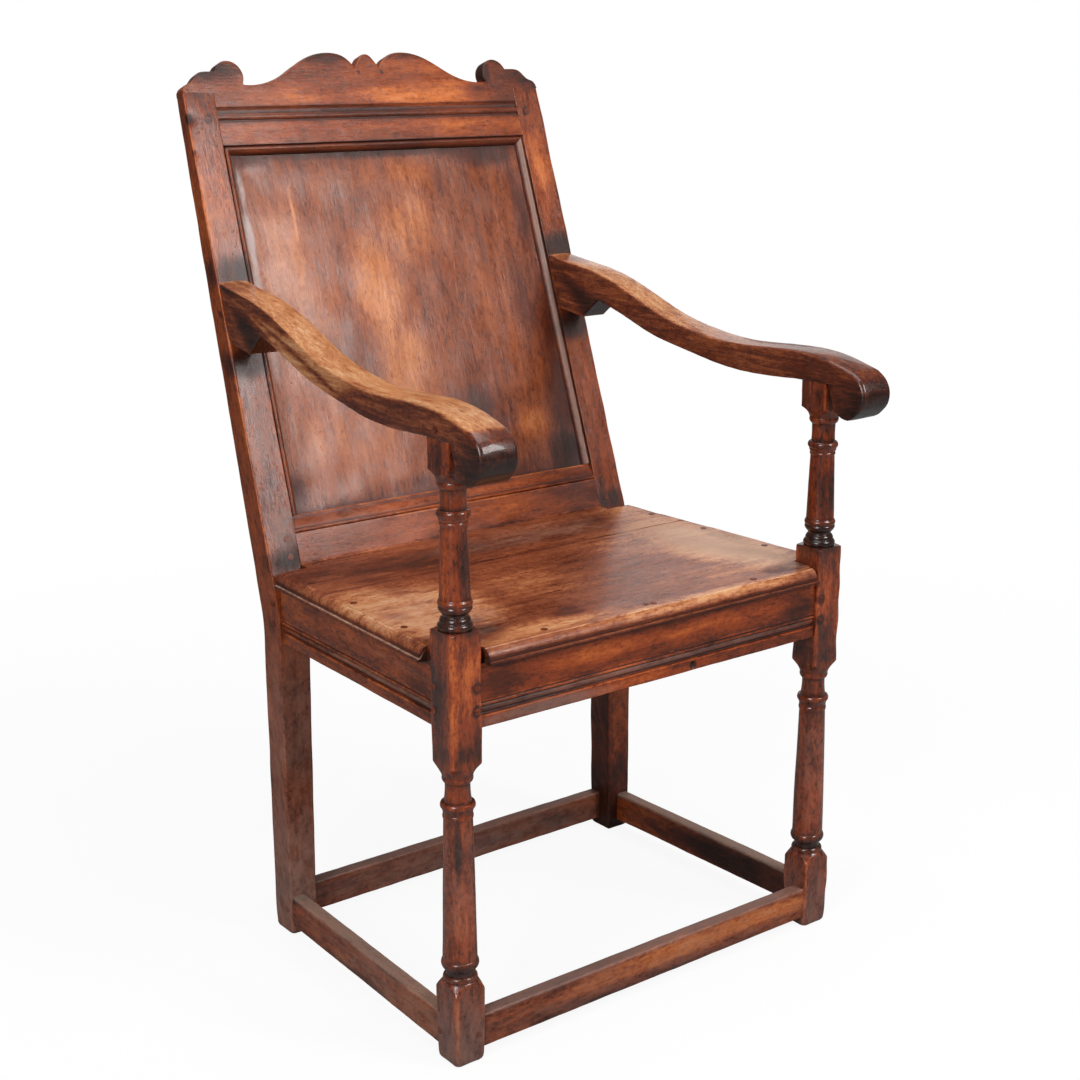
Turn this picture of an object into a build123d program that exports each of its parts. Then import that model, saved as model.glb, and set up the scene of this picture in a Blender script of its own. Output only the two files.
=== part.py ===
from build123d import *
from math import cos, hypot, radians, sin, tan
import os

# Joined wainscot armchair: pegged oak frame, panelled back and boarded seat.
# Millimetres, +Z up. The chair faces -Y, and left is -X. The origin is on the floor, under
# the middle of the whole chair.

# ---- driving dimensions -------------------------------------------------------------
seat_height = 460        # top of the seat above the floor
front_width = 556        # over the outer faces of the front posts
rear_width = 534         # over the outer faces of the rear posts, up to the seat
top_width = 515          # over the stile tops
frame_depth = 365        # front faces of the front posts to front faces of the rear posts
stile_top = 992          # height of the stile tops, under the ears of the crest
rake = 18.5              # lean of the back from upright, degrees
rake_start = 415         # height at which the rear posts turn back
knob_reach = 60          # arm ends stand this far in front of the front posts

# front posts: square blocks with turnings between them
post = 38
block_corner = 26.9      # from the axis to the arris of a block
lathe_clear = 30         # beyond the arrises, so that a block stays square
foot_block_top = 84.6
seat_block_bottom = 340
seat_block_top = 480.4
top_block_bottom = 645.4
arm_seat = 677           # underside of the arm on the top block
post_tenon_radius = 9
post_tenon_length = 20

# each bead, cove, ring or shaft of the turnings is an arc through three (radius, height)
leg_turning = [
    ((block_corner, foot_block_top), (21.9, 90.2), (18.0, 95.2)),    # shoulder
    ((17.7, 95.5), (18.4, 98.0), (15.8, 101.8)),                     # bead
    ((15.2, 102.2), (15.0, 104.5), (16.2, 108.6)),                   # waist
    ((18.2, 109.4), (20.1, 114.6), (18.9, 118.6)),                   # ring
    ((18.4, 119.0), (17.1, 198.0), (15.4, 277.0)),                   # shaft
    ((15.4, 277.5), (16.3, 280.5), (15.6, 283.5)),                   # bead
    ((15.8, 284.0), (16.4, 288.0), (18.2, 291.0)),                   # cove
    ((18.2, 291.0), (18.5, 293.5), (17.6, 296.2)),                   # collar
    ((14.8, 297.0), (13.6, 306.0), (13.4, 318.0)),                   # neck
    ((14.6, 318.6), (16.4, 321.6), (16.2, 325.0)),                   # ring
    ((16.4, 326.0), (19.4, 332.5), (block_corner, seat_block_bottom)),
]
support_turning = [
    ((block_corner, seat_block_top), (22.0, 481.6), (17.4, 482.2)),  # shoulder
    ((17.6, 482.4), (18.5, 485.6), (16.3, 489.5)),                   # ball
    ((16.1, 490.0), (15.7, 493.2), (13.9, 495.6)),                   # ring
    ((13.6, 496.0), (13.5, 497.2), (14.0, 498.6)),                   # waist
    ((14.2, 499.0), (15.6, 500.4), (16.8, 502.2)),
    ((16.9, 502.6), (17.6, 504.6), (16.9, 506.6)),                   # bead
    ((16.9, 507.0), (17.9, 510.0), (16.5, 513.2)),                   # bead
    ((16.2, 513.8), (14.9, 552.0), (13.9, 589.0)),                   # shaft
    ((14.0, 589.6), (14.8, 591.6), (14.2, 593.4)),                   # bead
    ((14.4, 593.8), (15.4, 595.8), (15.6, 597.6)),                   # bead
    ((15.9, 598.0), (17.4, 601.4), (15.9, 605.2)),                   # collar
    ((13.6, 606.0), (13.3, 616.0), (13.5, 626.0)),                   # neck
    ((14.2, 626.8), (16.7, 630.6), (16.4, 634.0)),                   # ring
    ((16.8, 635.0), (19.6, 640.4), (block_corner, top_block_bottom)),
]

# rear posts
rear_depth = 38          # front to back, below the seat
rear_bend = 400          # height at which their rear faces turn back
stile_top_depth = 18     # square to the rake, at the stile top
rear_foot_width = 35
stile_seat_width = 41
stile_top_width = 39.5
bend_radius = 150

# seat rails and stretchers
board_under = 444        # underside of the seat boards
rail_bottom = 375
rail_thick = 22
rail_set = 4             # front and side rails stand back from the faces of the posts
rear_rail_set = 12       # rear rail behind the front faces of the rear posts
stretcher_bottom = 14
stretcher_top = 52
stretcher_thick = 17
stretcher_set = 3
rear_stretcher_set = 20
tenon = 8                # thickness of every seat-rail and stretcher tenon
rail_cheek = 7           # from the face of a rail to the cheek of its tenon
stretcher_cheek = 4.5
tenon_front = 24         # front rail's tenons in the front posts
tenon_side = 17          # side rails' tenons in the front posts
tenon_rear = 23          # side rails' tenons in the rear posts
tenon_back = 17          # rear rail's tenons
rail_inset = 7           # a tenon is narrower than its rail, above and below
stretcher_inset = 6
play = 0.1               # round a tenon in its mortise
end_play = 1.5           # beyond the end of a tenon or a peg

# run moulding on the front and side seat rails: a hollow, and a scribed line above it
hollow_low = 388
hollow_high = 398.5
hollow_depth = 3.2
scribe_height = 402
scribe_depth = 1.2

# back
frame_thick = 18         # crest rail and lower rail
panel_face = 8.5         # from the frame's face to the panel's face
panel_thick = 7
panel_lap = 5.5          # panel edge in its groove
groove_depth = 7
sight_bottom = 516       # opening for the panel, heights on the face of the back
sight_top = 922
mould_width = 11         # edge moulding round the panel
mould_drop = 4.5         # its inner edge lies this far behind the face
mould_bead = [(1.2, -2.7), (4, -0.5), (6.4, -2.5)]       # arcs across it, (distance in, depth)
mould_reed = [(7, -4), (9, -2.8), (mould_width, -mould_drop)]
back_tenon = 7
back_cheek = 6
back_tenon_length = 24
crest_tenon = (942, 984)
lower_tenon = (467, 495)
reed_cove = (976, 969)   # run moulding across the crest rail, heights
reed_groove = (961, 958)
reed_depth = 2.5
bead_low = 495.5         # bead of the lower rail, and the hollow above it
bead_high = 500.5
bead_quirk = 1.4
hollow_drop = 6          # the hollow ends this far behind the face, at the panel

# crest outline (half width, height), from the middle out
finial = (0, 1035.5)
finial_side = (9, 1031)
cleft = (17.5, 1020)
hump_rise = (30, 1032)
hump = (56, 1037.5)
hump_fall = (92, 1028.5)
sweep = (128, 1009)
sweep_low = (164, 1000.5)
scroll_foot = (177, 1001)
scroll_top = (191, 1028.5)
scroll_end = (211, 1016.5)
ear_bump = (223, 1016.5)
ear_fall = (243, 1006.5)
ear_end = 997.5

# arms: side outline, (distance behind the front posts' faces, height)
arm_top = [
    (500, 782), (454, 775), (400, 767), (335, 748.5), (265, 723), (205, 710.3),
    (130, 705.5), (60, 708.6), (7, 706), (-42, 694),
]
knob_face = [(-42, 694), (0.9 - knob_reach, 667), (-50, 648.5), (-37, 640)]
knob_flow = [(-1, -0.35), (1, 0.02)]     # its direction at either end
knob_under = [(-37, 640), (-19, 652), (-6, arm_seat)]
arm_flat_end = 46
arm_under = [
    (arm_flat_end, arm_seat), (130, 674.5), (216, 685.5), (290, 700.5), (350, 720),
]
arm_notch = (388, 731)
arm_cusp = (419, 706)
arm_heel = (478, 714)
arm_rear_half = (223, 259.5)      # inner and outer faces, from the middle, at the stile
arm_front_half = (236.4, 282.5)  # and at the knob
arm_rear_place = 470
arm_round = 5                    # rounding of the upper edges
arm_tenon = (724, 766)           # heights
arm_tenon_thick = 12
arm_tenon_length = 15
arm_tenon_middle = 240

# seat boards
nose = 7                 # the front edge stands this far in front of the posts
side_front = 286         # half widths over the side edges, just behind the front posts
side_rear = 271          # and beside the rear posts
side_start = 46
board_split = 262        # joint between the two boards
split_gap = 0.3
nose_gap = 6             # cut-back of the nose beside the posts
nose_depth = 11
notch_gap = 1.5
edge_fillet = 4.5        # square lower step of the edge moulding
edge_step = 1
edge_round = 8.5
under_back = 31          # the boards run this far under the back
heel = 6                 # and this far beside the rear posts

# pegs
peg_radius = 3.8
peg_proud = 0.6
peg_gap = 0.05
rail_peg_heights = (396, 421)
stretcher_peg_height = 33
front_peg_half = 246.5
side_peg_back = 31       # pegs of the side rails, behind the front posts' faces
rear_peg_back = 13       # and behind the rear posts' front faces
stretcher_peg_back = 10
cross_peg_in = 9.5       # pegs of the cross stretchers, past the inner faces of the posts
rear_peg_half = 237
rear_clear = 1           # the rounded bend carries the rear faces this far out there
arm_overhang = 1.2       # arm pegs start this far outside the posts
crest_peg = (232, 962)
lower_peg_half = 238
lower_peg_heights = (471, 491)
arm_peg_height = 745
seat_peg_half = (-150, 0, 150)
seat_peg_back = 15
seat_peg_sides = (110, 215, 310)
peg_lengths = {
    "front_rail": 26, "side_rail_front": 24, "side_rail_rear": 22, "rear_rail": 26,
    "stretcher_front": 24, "stretcher_side": 21, "stretcher_rear": 20,
    "crest": 15, "lower_rail": 24, "arm_stile": 26, "arm_post": 34, "seat": 34,
}

# ---- derived ------------------------------------------------------------------------
lean = radians(rake)
half_front = front_width / 2
half_rear = rear_width / 2
half_top = top_width / 2
inner_front = half_front - post
crest_height = hump[1]
back_reach = frame_depth + (crest_height - rake_start) * tan(lean) + frame_thick * cos(lean)
front_y = -(back_reach - knob_reach) / 2     # the origin is under the middle of the box
rear_y = front_y + frame_depth
mitre_top = sight_top + mould_width * cos(lean)
axis_x = half_front - post / 2
axis_y = front_y + post / 2
far = 400                # longer than anything it cuts

face = Plane(origin=(0, rear_y, rake_start), x_dir=(1, 0, 0), z_dir=(0, -cos(lean), sin(lean)))
section = Plane(origin=face.origin, x_dir=(0, sin(lean), cos(lean)), z_dir=(1, 0, 0))


def up(height):
    """Distance up the sloping face of the back at a height above the floor."""
    return (height - rake_start) / cos(lean)


def on_face(place):
    """A (half width, height) on the face of the back, in that plane's own coordinates."""
    return place[0], up(place[1])


def face_y(height):
    """Y of the sloping face of the back at a height."""
    return rear_y + (height - rake_start) * tan(lean)


def gap_half(height):
    """Half the distance between the stiles at a height."""
    at_seat = half_rear - stile_seat_width
    at_top = half_top - stile_top_width
    return at_top + (stile_top - height) * (at_seat - at_top) / (stile_top - seat_height)


def side_line(y, set_back):
    """Half width over a pair of side rails, set back from the posts, at a distance y."""
    taper = (half_front - half_rear) / (frame_depth - post)
    return half_front - set_back - (y - front_y - post) * taper


def rear_slant(height):
    """How far the slanting rear faces of the rear posts lie behind their lower part."""
    return max(0, (height - rear_bend) * back_slope) + rear_clear


def mirrored(piece):
    """The same piece for the other side of the chair."""
    with BuildPart() as other:
        mirror(piece, about=Plane.YZ)
    return other.part


# ---- rear post blank, before its mortises -------------------------------------------
back_top = face_y(stile_top) + stile_top_depth * cos(lean)
back_top_height = stile_top - stile_top_depth * sin(lean)
back_slope = (back_top - rear_y - rear_depth) / (back_top_height - rear_bend)

with BuildPart() as rear_blank:
    with BuildSketch(Plane.YZ) as rear_side:
        with BuildLine():
            Polyline(
                (rear_y, 0), (rear_y, rake_start), (face_y(stile_top), stile_top),
                (back_top, back_top_height), (rear_y + rear_depth, rear_bend),
                (rear_y + rear_depth, 0), close=True,
            )
        make_face()
        bends = rear_side.vertices().filter_by_position(Axis.Y, rear_bend - 1, rake_start + 1)
        fillet(bends, radius=bend_radius)
    extrude(amount=far, both=True)
    with BuildSketch(Plane.XZ):
        with BuildLine():
            Polyline(
                (-half_rear, 0), (-half_rear, seat_height), (-half_top, stile_top),
                (-gap_half(stile_top), stile_top), (-gap_half(seat_height), seat_height),
                (-half_rear + rear_foot_width, 0), close=True,
            )
        make_face()
    extrude(amount=far, both=True, mode=Mode.INTERSECT)
left_blank = rear_blank.part
right_blank = mirrored(left_blank)


# ---- tenons: each pair is one bar right through its rail ----------------------------
cross_tenons = {         # half length, near cheek, bottom, top
    "seat_rail_front": (
        inner_front + tenon_front, front_y + rail_set + rail_cheek,
        rail_bottom + rail_inset, board_under - rail_inset,
    ),
    "seat_rail_rear": (
        gap_half(rail_bottom) + tenon_back, rear_y + rear_rail_set + rail_cheek,
        rail_bottom + rail_inset, board_under - rail_inset,
    ),
    "stretcher_front": (
        inner_front + tenon_back, front_y + stretcher_set + stretcher_cheek,
        stretcher_bottom + stretcher_inset, stretcher_top - stretcher_inset,
    ),
    "stretcher_rear": (
        half_rear - rear_foot_width + tenon_back, rear_y + rear_stretcher_set + stretcher_cheek + 1,
        stretcher_bottom + stretcher_inset, stretcher_top - stretcher_inset,
    ),
}


def cross_tenon(name, grow=0, deep=0):
    """Tenons of a rail that runs across the chair, or their mortises."""
    half, cheek, low, high = cross_tenons[name]
    with BuildPart() as bar:
        with BuildSketch(Plane.XY.offset(low - grow)):
            with Locations((0, cheek + tenon / 2)):
                Rectangle(2 * (half + deep), tenon + 2 * grow)
        extrude(amount=high - low + 2 * grow)
    return bar.part


def side_prism(set_back, inset, thick, low, high, start, end):
    """A straight bar along the left side, between two distances, in line with the posts."""
    with BuildPart() as prism:
        with BuildSketch(Plane.XY.offset(low)):
            with BuildLine():
                Polyline(
                    (-side_line(start, set_back) + inset, start),
                    (-side_line(end, set_back) + inset, end),
                    (-side_line(end, set_back) + inset + thick, end),
                    (-side_line(start, set_back) + inset + thick, start), close=True,
                )
            make_face()
        extrude(amount=high - low)
    return prism.part


def side_tenon(set_back, cheek, low, high, reach, grow=0, deep=0):
    """Tenons of a left-hand side rail or stretcher, or their mortises."""
    return side_prism(
        set_back, cheek - grow, tenon + 2 * grow, low - grow, high + grow,
        front_y + post - tenon_side - deep, rear_y + reach + deep,
    )


def rail_tenon(grow=0, deep=0):
    """Tenons of the left seat rail."""
    return side_tenon(
        rail_set, rail_cheek, rail_bottom + rail_inset, board_under - rail_inset,
        tenon_rear, grow, deep,
    )


def stretcher_tenon(grow=0, deep=0):
    """Tenons of the left stretcher."""
    return side_tenon(
        stretcher_set, stretcher_cheek, stretcher_bottom + stretcher_inset,
        stretcher_top - stretcher_inset, rear_stretcher_set, grow, deep,
    )


def back_tenons(heights, grow=0, deep=0):
    """Tenons of the crest rail or the lower rail: a bar within the thickness of the back."""
    low, high = heights
    half = gap_half((low + high) / 2) + back_tenon_length + deep
    with BuildPart() as bar:
        with BuildSketch(face.offset(-back_cheek + grow)):
            with Locations((0, (up(low) + up(high)) / 2)):
                Rectangle(2 * half, up(high) - up(low) + 2 * grow)
        extrude(amount=-back_tenon - 2 * grow)
    return bar.part


def arm_tenons(grow=0, deep=0):
    """Tenon of the left arm in its stile, square to the rake."""
    low, high = arm_tenon
    with BuildPart() as bar:
        with BuildSketch(face.offset(arm_tenon_length)):
            with Locations((-arm_tenon_middle, (up(low) + up(high)) / 2)):
                Rectangle(arm_tenon_thick + 2 * grow, up(high) - up(low) + 2 * grow)
        extrude(amount=-2 * arm_tenon_length - deep)
    return bar.part


def post_tenon(grow=0, deep=0):
    """Round tenon on top of the left front post."""
    with BuildPart() as pin:
        with BuildSketch(Plane.XY.offset(arm_seat - 1)):
            with Locations((-axis_x, axis_y)):
                Circle(post_tenon_radius + grow)
        extrude(amount=post_tenon_length + 1 + deep)
    return pin.part


with BuildPart() as left_mortises:
    add(rail_tenon(play, end_play))
    add(stretcher_tenon(play, end_play))
    add(arm_tenons(play, end_play))
with BuildPart() as mortises:
    for name in cross_tenons:
        add(cross_tenon(name, play, end_play))
    add(back_tenons(crest_tenon, play, end_play))
    add(back_tenons(lower_tenon, play, end_play))
    add(left_mortises.part)
    mirror(left_mortises.part, about=Plane.YZ)


# ---- panel and the groove round it --------------------------------------------------
def panel_slab(spread, front, thick):
    """The panel's outline, spread past the opening, from a depth behind the face."""
    with BuildPart() as slab:
        with BuildSketch(face.offset(-front)):
            with BuildLine():
                low = sight_bottom - spread
                high = sight_top + spread
                low_half = gap_half(low) - mould_width + spread
                high_half = gap_half(high) - mould_width + spread
                Polyline(
                    on_face((-low_half, low)), on_face((low_half, low)),
                    on_face((high_half, high)), on_face((-high_half, high)), close=True,
                )
            make_face()
        extrude(amount=-thick)
    return slab.part


with BuildPart() as back_panel:
    add(panel_slab(panel_lap, panel_face, panel_thick))
panel_groove = panel_slab(groove_depth, panel_face - play, panel_thick + 2 * play)


# ---- pegs and the holes bored for them ----------------------------------------------
front_face = Plane(origin=(0, front_y, 0), x_dir=(1, 0, 0), z_dir=(0, -1, 0))
left_front = Plane(origin=(-half_front, 0, 0), x_dir=(0, -1, 0), z_dir=(-1, 0, 0))
left_rear = Plane(origin=(-half_rear, 0, 0), x_dir=(0, -1, 0), z_dir=(-1, 0, 0))
left_stile = Plane(
    origin=(-half_rear + (arm_peg_height - seat_height) * (half_rear - half_top)
            / (stile_top - seat_height), 0, 0),
    x_dir=(0, -1, 0), z_dir=(-1, 0, 0),
)
rear_face = Plane(origin=(0, rear_y + rear_depth, 0), x_dir=(-1, 0, 0), z_dir=(0, 1, 0))
seat_top = Plane.XY.offset(seat_height)


def pairs(half, heights):
    """Points to the left and right of the middle, at each height."""
    return [(side * half, height) for side in (-1, 1) for height in heights]


side_rail_pegs = [       # plane, length, places
    (left_front, peg_lengths["side_rail_front"],
     [(-front_y - side_peg_back, height) for height in rail_peg_heights]),
    (left_rear, peg_lengths["side_rail_rear"],
     [(-rear_y - rear_peg_back, height) for height in rail_peg_heights]),
]
left_stretcher_pegs = [
    (left_front, peg_lengths["stretcher_side"],
     [(-front_y - side_peg_back, stretcher_peg_height)]),
    (left_rear, peg_lengths["stretcher_side"],
     [(-rear_y - stretcher_peg_back, stretcher_peg_height)]),
]
cross_stretcher_pegs = [
    (front_face, peg_lengths["stretcher_front"],
     pairs(inner_front + cross_peg_in, [stretcher_peg_height])),
    (rear_face, peg_lengths["stretcher_rear"],
     pairs(half_rear - rear_foot_width + cross_peg_in, [stretcher_peg_height])),
]
left_arm_pegs = [
    (left_stile, peg_lengths["arm_stile"],
     [(-face_y(arm_peg_height) - arm_tenon_length / 2, arm_peg_height)]),
    (left_front.offset(arm_overhang), peg_lengths["arm_post"],
     [(-axis_y, arm_seat + post_tenon_length / 2)]),
]
rear_rail_pegs = [
    (rear_face.offset(rear_slant(height)), peg_lengths["rear_rail"],
     pairs(rear_peg_half, [height]))
    for height in rail_peg_heights
]
seat_pegs = [
    (seat_top, peg_lengths["seat"], [(x, front_y + seat_peg_back) for x in seat_peg_half]),
    (seat_top, peg_lengths["seat"], [
        (side * (side_line(front_y + y, rail_set) - rail_thick / 2), front_y + y)
        for side in (-1, 1) for y in seat_peg_sides
    ]),
]
front_rail_pegs = [
    (front_face, peg_lengths["front_rail"], pairs(front_peg_half, rail_peg_heights)),
]
crest_pegs = [(
    face, peg_lengths["crest"], [on_face(place) for place in pairs(crest_peg[0], crest_peg[1:])],
)]
lower_pegs = [(
    face, peg_lengths["lower_rail"],
    [on_face(place) for place in pairs(lower_peg_half, lower_peg_heights)],
)]


def pegs(places, radius=peg_radius, deep=0):
    """Round pegs driven square to their planes, or, thicker and deeper, their holes."""
    with BuildPart() as group:
        for plane, length, points in places:
            with BuildSketch(plane.offset(peg_proud)):
                with Locations(*points):
                    Circle(radius)
            extrude(amount=-length - peg_proud - deep)
    return group.part


def both_sides(piece):
    """A left-hand piece together with its mirror image."""
    with BuildPart() as pair:
        add(piece)
        mirror(piece, about=Plane.YZ)
    return pair.part


peg_hole = (peg_radius + peg_gap, end_play)
with BuildPart() as peg_holes:
    for places in (
        front_rail_pegs, rear_rail_pegs, cross_stretcher_pegs, crest_pegs, lower_pegs, seat_pegs,
    ):
        add(pegs(places, *peg_hole))
    for places in (side_rail_pegs, left_stretcher_pegs, left_arm_pegs):
        add(both_sides(pegs(places, *peg_hole)))


# ---- rear posts ---------------------------------------------------------------------
def mould_edge(plane):
    """Section cut in front of the panel's edge moulding: a quirk, a bead and a small reed,
    from the flat face at local x 0 to the panel's side at mould_width."""
    with BuildSketch(plane) as outline:
        with BuildLine():
            Line((0, 0), mould_bead[0])
            ThreePointArc(*mould_bead)
            Line(mould_bead[-1], mould_reed[0])
            ThreePointArc(*mould_reed)
            Polyline(mould_reed[-1], (mould_width + 1, -mould_drop), (mould_width + 1, 1),
                     (0, 1), (0, 0))
        make_face()
    return outline.sketch


edge_run = Plane(
    origin=face.from_local_coords((-gap_half(sight_bottom), up(sight_bottom), 0)),
    x_dir=(1, 0, 0), z_dir=(0, -sin(lean), -cos(lean)),
)
edge_shift = gap_half(sight_bottom) - gap_half(stile_top)
edge_rise = up(stile_top) - up(sight_bottom)

with BuildPart() as rear_post_left:
    add(left_blank)
    with BuildSketch(face):
        with BuildLine():
            Polyline(
                on_face((-gap_half(sight_bottom) - 1, sight_bottom)),
                on_face((-gap_half(sight_bottom) + mould_width, sight_bottom)),
                on_face((-gap_half(sight_top) + mould_width, sight_top)),
                on_face((-gap_half(mitre_top), mitre_top)),
                on_face((-gap_half(mitre_top) - 1, mitre_top)), close=True,
            )
        make_face()
    extrude(amount=-frame_thick)
    extrude(
        mould_edge(edge_run), amount=hypot(edge_shift, edge_rise),
        dir=(edge_shift, edge_rise * sin(lean), edge_rise * cos(lean)), mode=Mode.SUBTRACT,
    )
    add(panel_groove, mode=Mode.SUBTRACT)
    add(mortises.part, mode=Mode.SUBTRACT)
    add(peg_holes.part, mode=Mode.SUBTRACT)
with BuildPart() as rear_post_right:
    mirror(rear_post_left.part, about=Plane.YZ)


# ---- front posts --------------------------------------------------------------------
with BuildPart() as front_post_left:
    with BuildSketch():
        with Locations((-axis_x, axis_y)):
            Rectangle(post, post)
    extrude(amount=arm_seat)
    with BuildSketch(Plane(origin=(-axis_x, axis_y, 0), x_dir=(1, 0, 0), z_dir=(0, -1, 0))):
        with BuildLine():
            end = (lathe_clear, 0)
            for arcs in (leg_turning, support_turning):
                block_end = (lathe_clear, arcs[0][0][1])
                Line(end, block_end)
                end = block_end
                for first, middle, last in arcs:
                    if first != end:
                        Line(end, first)
                    ThreePointArc(first, middle, last)
                    end = last
                Line(end, (lathe_clear, end[1]))
                end = (lathe_clear, end[1])
            Polyline(end, (lathe_clear, arm_seat), (0, arm_seat), (0, 0), (lathe_clear, 0))
        make_face()
    revolve(axis=Axis((-axis_x, axis_y, 0), (0, 0, 1)), mode=Mode.INTERSECT)
    add(post_tenon())
    add(mortises.part, mode=Mode.SUBTRACT)
    add(peg_holes.part, mode=Mode.SUBTRACT)
with BuildPart() as front_post_right:
    mirror(front_post_left.part, about=Plane.YZ)


# ---- seat rails and stretchers ------------------------------------------------------
def rail_run(plane, at):
    """Section of the run moulding, cut from the face of a rail, which is at local x."""
    middle = (hollow_low + hollow_high) / 2
    scribe_low = scribe_height - scribe_depth
    scribe_high = scribe_height + scribe_depth
    with BuildSketch(plane) as outline:
        for low, centre, high, depth in (
            (hollow_low, middle, hollow_high, hollow_depth),
            (scribe_low, scribe_height, scribe_high, scribe_depth),
        ):
            with BuildLine():
                ThreePointArc((at, low), (at + depth, centre), (at, high))
                Polyline((at, high), (at - 1, high), (at - 1, low), (at, low))
            make_face()
    return outline.sketch


def cross_rail(name, near, thick, low, high, half):
    """A rail or stretcher across the chair, scribed to the posts, with its two tenons."""
    with BuildPart() as rail:
        with BuildSketch(Plane.XY.offset(low)):
            with Locations((0, near + thick / 2)):
                Rectangle(2 * half, thick)
        extrude(amount=high - low)
        add(left_blank, mode=Mode.SUBTRACT)
        add(right_blank, mode=Mode.SUBTRACT)
        if name == "seat_rail_front":
            extrude(rail_run(Plane.YZ, near), amount=far, both=True, mode=Mode.SUBTRACT)
        add(cross_tenon(name))
        add(peg_holes.part, mode=Mode.SUBTRACT)
    return rail.part


seat_rail_front = cross_rail(
    "seat_rail_front", front_y + rail_set, rail_thick, rail_bottom, board_under, inner_front
)
seat_rail_rear = cross_rail(
    "seat_rail_rear", rear_y + rear_rail_set, rail_thick, rail_bottom, board_under,
    half_rear - rear_foot_width,
)
stretcher_front = cross_rail(
    "stretcher_front", front_y + stretcher_set, stretcher_thick, stretcher_bottom, stretcher_top,
    inner_front,
)
stretcher_rear = cross_rail(
    "stretcher_rear", rear_y + rear_stretcher_set, stretcher_thick, stretcher_bottom,
    stretcher_top, half_rear - rear_foot_width,
)

side_start_y = front_y + post
side_end_y = rear_y + rear_depth
along_side = Vector(
    side_line(side_start_y, 0) - side_line(side_end_y, 0), side_end_y - side_start_y, 0
)

with BuildPart() as seat_rail_left:
    add(side_prism(rail_set, 0, rail_thick, rail_bottom, board_under, side_start_y, side_end_y))
    extrude(
        rail_run(Plane.XZ.offset(-side_start_y), -side_line(side_start_y, rail_set)),
        amount=along_side.length, dir=along_side.normalized(), mode=Mode.SUBTRACT,
    )
    add(left_blank, mode=Mode.SUBTRACT)
    add(rail_tenon())
    add(peg_holes.part, mode=Mode.SUBTRACT)
with BuildPart() as seat_rail_right:
    mirror(seat_rail_left.part, about=Plane.YZ)

with BuildPart() as stretcher_left:
    add(side_prism(
        stretcher_set, 0, stretcher_thick, stretcher_bottom, stretcher_top, side_start_y, rear_y
    ))
    add(stretcher_tenon())
    add(peg_holes.part, mode=Mode.SUBTRACT)
with BuildPart() as stretcher_right:
    mirror(stretcher_left.part, about=Plane.YZ)


# ---- crest rail ---------------------------------------------------------------------
with BuildPart() as crest_rail:
    with BuildSketch(face):
        with BuildLine():
            ThreePointArc(on_face(finial), on_face(finial_side), on_face(cleft))
            Spline(*[on_face(place) for place in (
                cleft, hump_rise, hump, hump_fall, sweep, sweep_low, scroll_foot
            )])
            ThreePointArc(on_face(scroll_foot), on_face(scroll_top), on_face(scroll_end))
            Line(on_face(scroll_end), on_face(ear_bump))
            ThreePointArc(on_face(ear_bump), on_face(ear_fall), on_face((half_top, ear_end)))
            Polyline(*[on_face(place) for place in (
                (half_top, ear_end), (half_top, stile_top), (gap_half(stile_top), stile_top),
                (gap_half(mitre_top), mitre_top),
                (gap_half(sight_top) - mould_width, sight_top), (0, sight_top),
            )])
            mirror(about=Plane.YZ)
        make_face()
    extrude(amount=-frame_thick)
    with BuildSketch(section):
        with BuildLine():
            cove_high = up(reed_cove[0])
            cove_low = up(reed_cove[1])
            reed_end = up(reed_groove[0])
            groove_end = up(reed_groove[1])
            ThreePointArc(
                (cove_high, 0), ((cove_high + cove_low) / 2, -reed_depth * 0.9),
                (cove_low, -reed_depth),
            )
            ThreePointArc(
                (cove_low, -reed_depth), ((cove_low + reed_end) / 2, -reed_depth * 0.15),
                (reed_end, -reed_depth),
            )
            Polyline((reed_end, -reed_depth), (groove_end, -reed_depth), (groove_end, 1),
                     (cove_high, 1), (cove_high, 0))
        make_face()
    extrude(amount=far, both=True, mode=Mode.SUBTRACT)
    crest_edge = face.from_local_coords((0, up(mitre_top), 0))
    extrude(
        mould_edge(Plane(origin=crest_edge, x_dir=-face.y_dir, z_dir=-face.x_dir)),
        amount=far, both=True, mode=Mode.SUBTRACT,
    )
    add(back_tenons(crest_tenon))
    add(panel_groove, mode=Mode.SUBTRACT)
    add(peg_holes.part, mode=Mode.SUBTRACT)


# ---- lower back rail ----------------------------------------------------------------
with BuildPart() as lower_back_rail:
    with BuildSketch(section):
        with BuildLine():
            under = up(seat_height) - frame_thick
            Polyline(
                (up(sight_bottom), -frame_thick), (under, -frame_thick), (under, 0),
                (up(bead_low), 0), (up(bead_low), -bead_quirk),
            )
            ThreePointArc(
                (up(bead_low), -bead_quirk), (up(sum((bead_low, bead_high)) / 2), bead_quirk / 2),
                (up(bead_high), -bead_quirk),
            )
            ThreePointArc(
                (up(bead_high), -bead_quirk),
                (up((bead_high + sight_bottom) / 2), -hollow_drop * 0.62),
                (up(sight_bottom), -hollow_drop),
            )
            Line((up(sight_bottom), -hollow_drop), (up(sight_bottom), -frame_thick))
        make_face()
    extrude(amount=gap_half(rail_bottom), both=True)
    split(bisect_by=Plane.XY.offset(seat_height), keep=Keep.TOP)
    add(left_blank, mode=Mode.SUBTRACT)
    add(right_blank, mode=Mode.SUBTRACT)
    add(back_tenons(lower_tenon))
    add(panel_groove, mode=Mode.SUBTRACT)
    add(peg_holes.part, mode=Mode.SUBTRACT)


# ---- arms ---------------------------------------------------------------------------
def arm_places(places):
    """Side outline points with the distance measured from the origin."""
    return [(front_y + distance, height) for distance, height in places]


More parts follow.
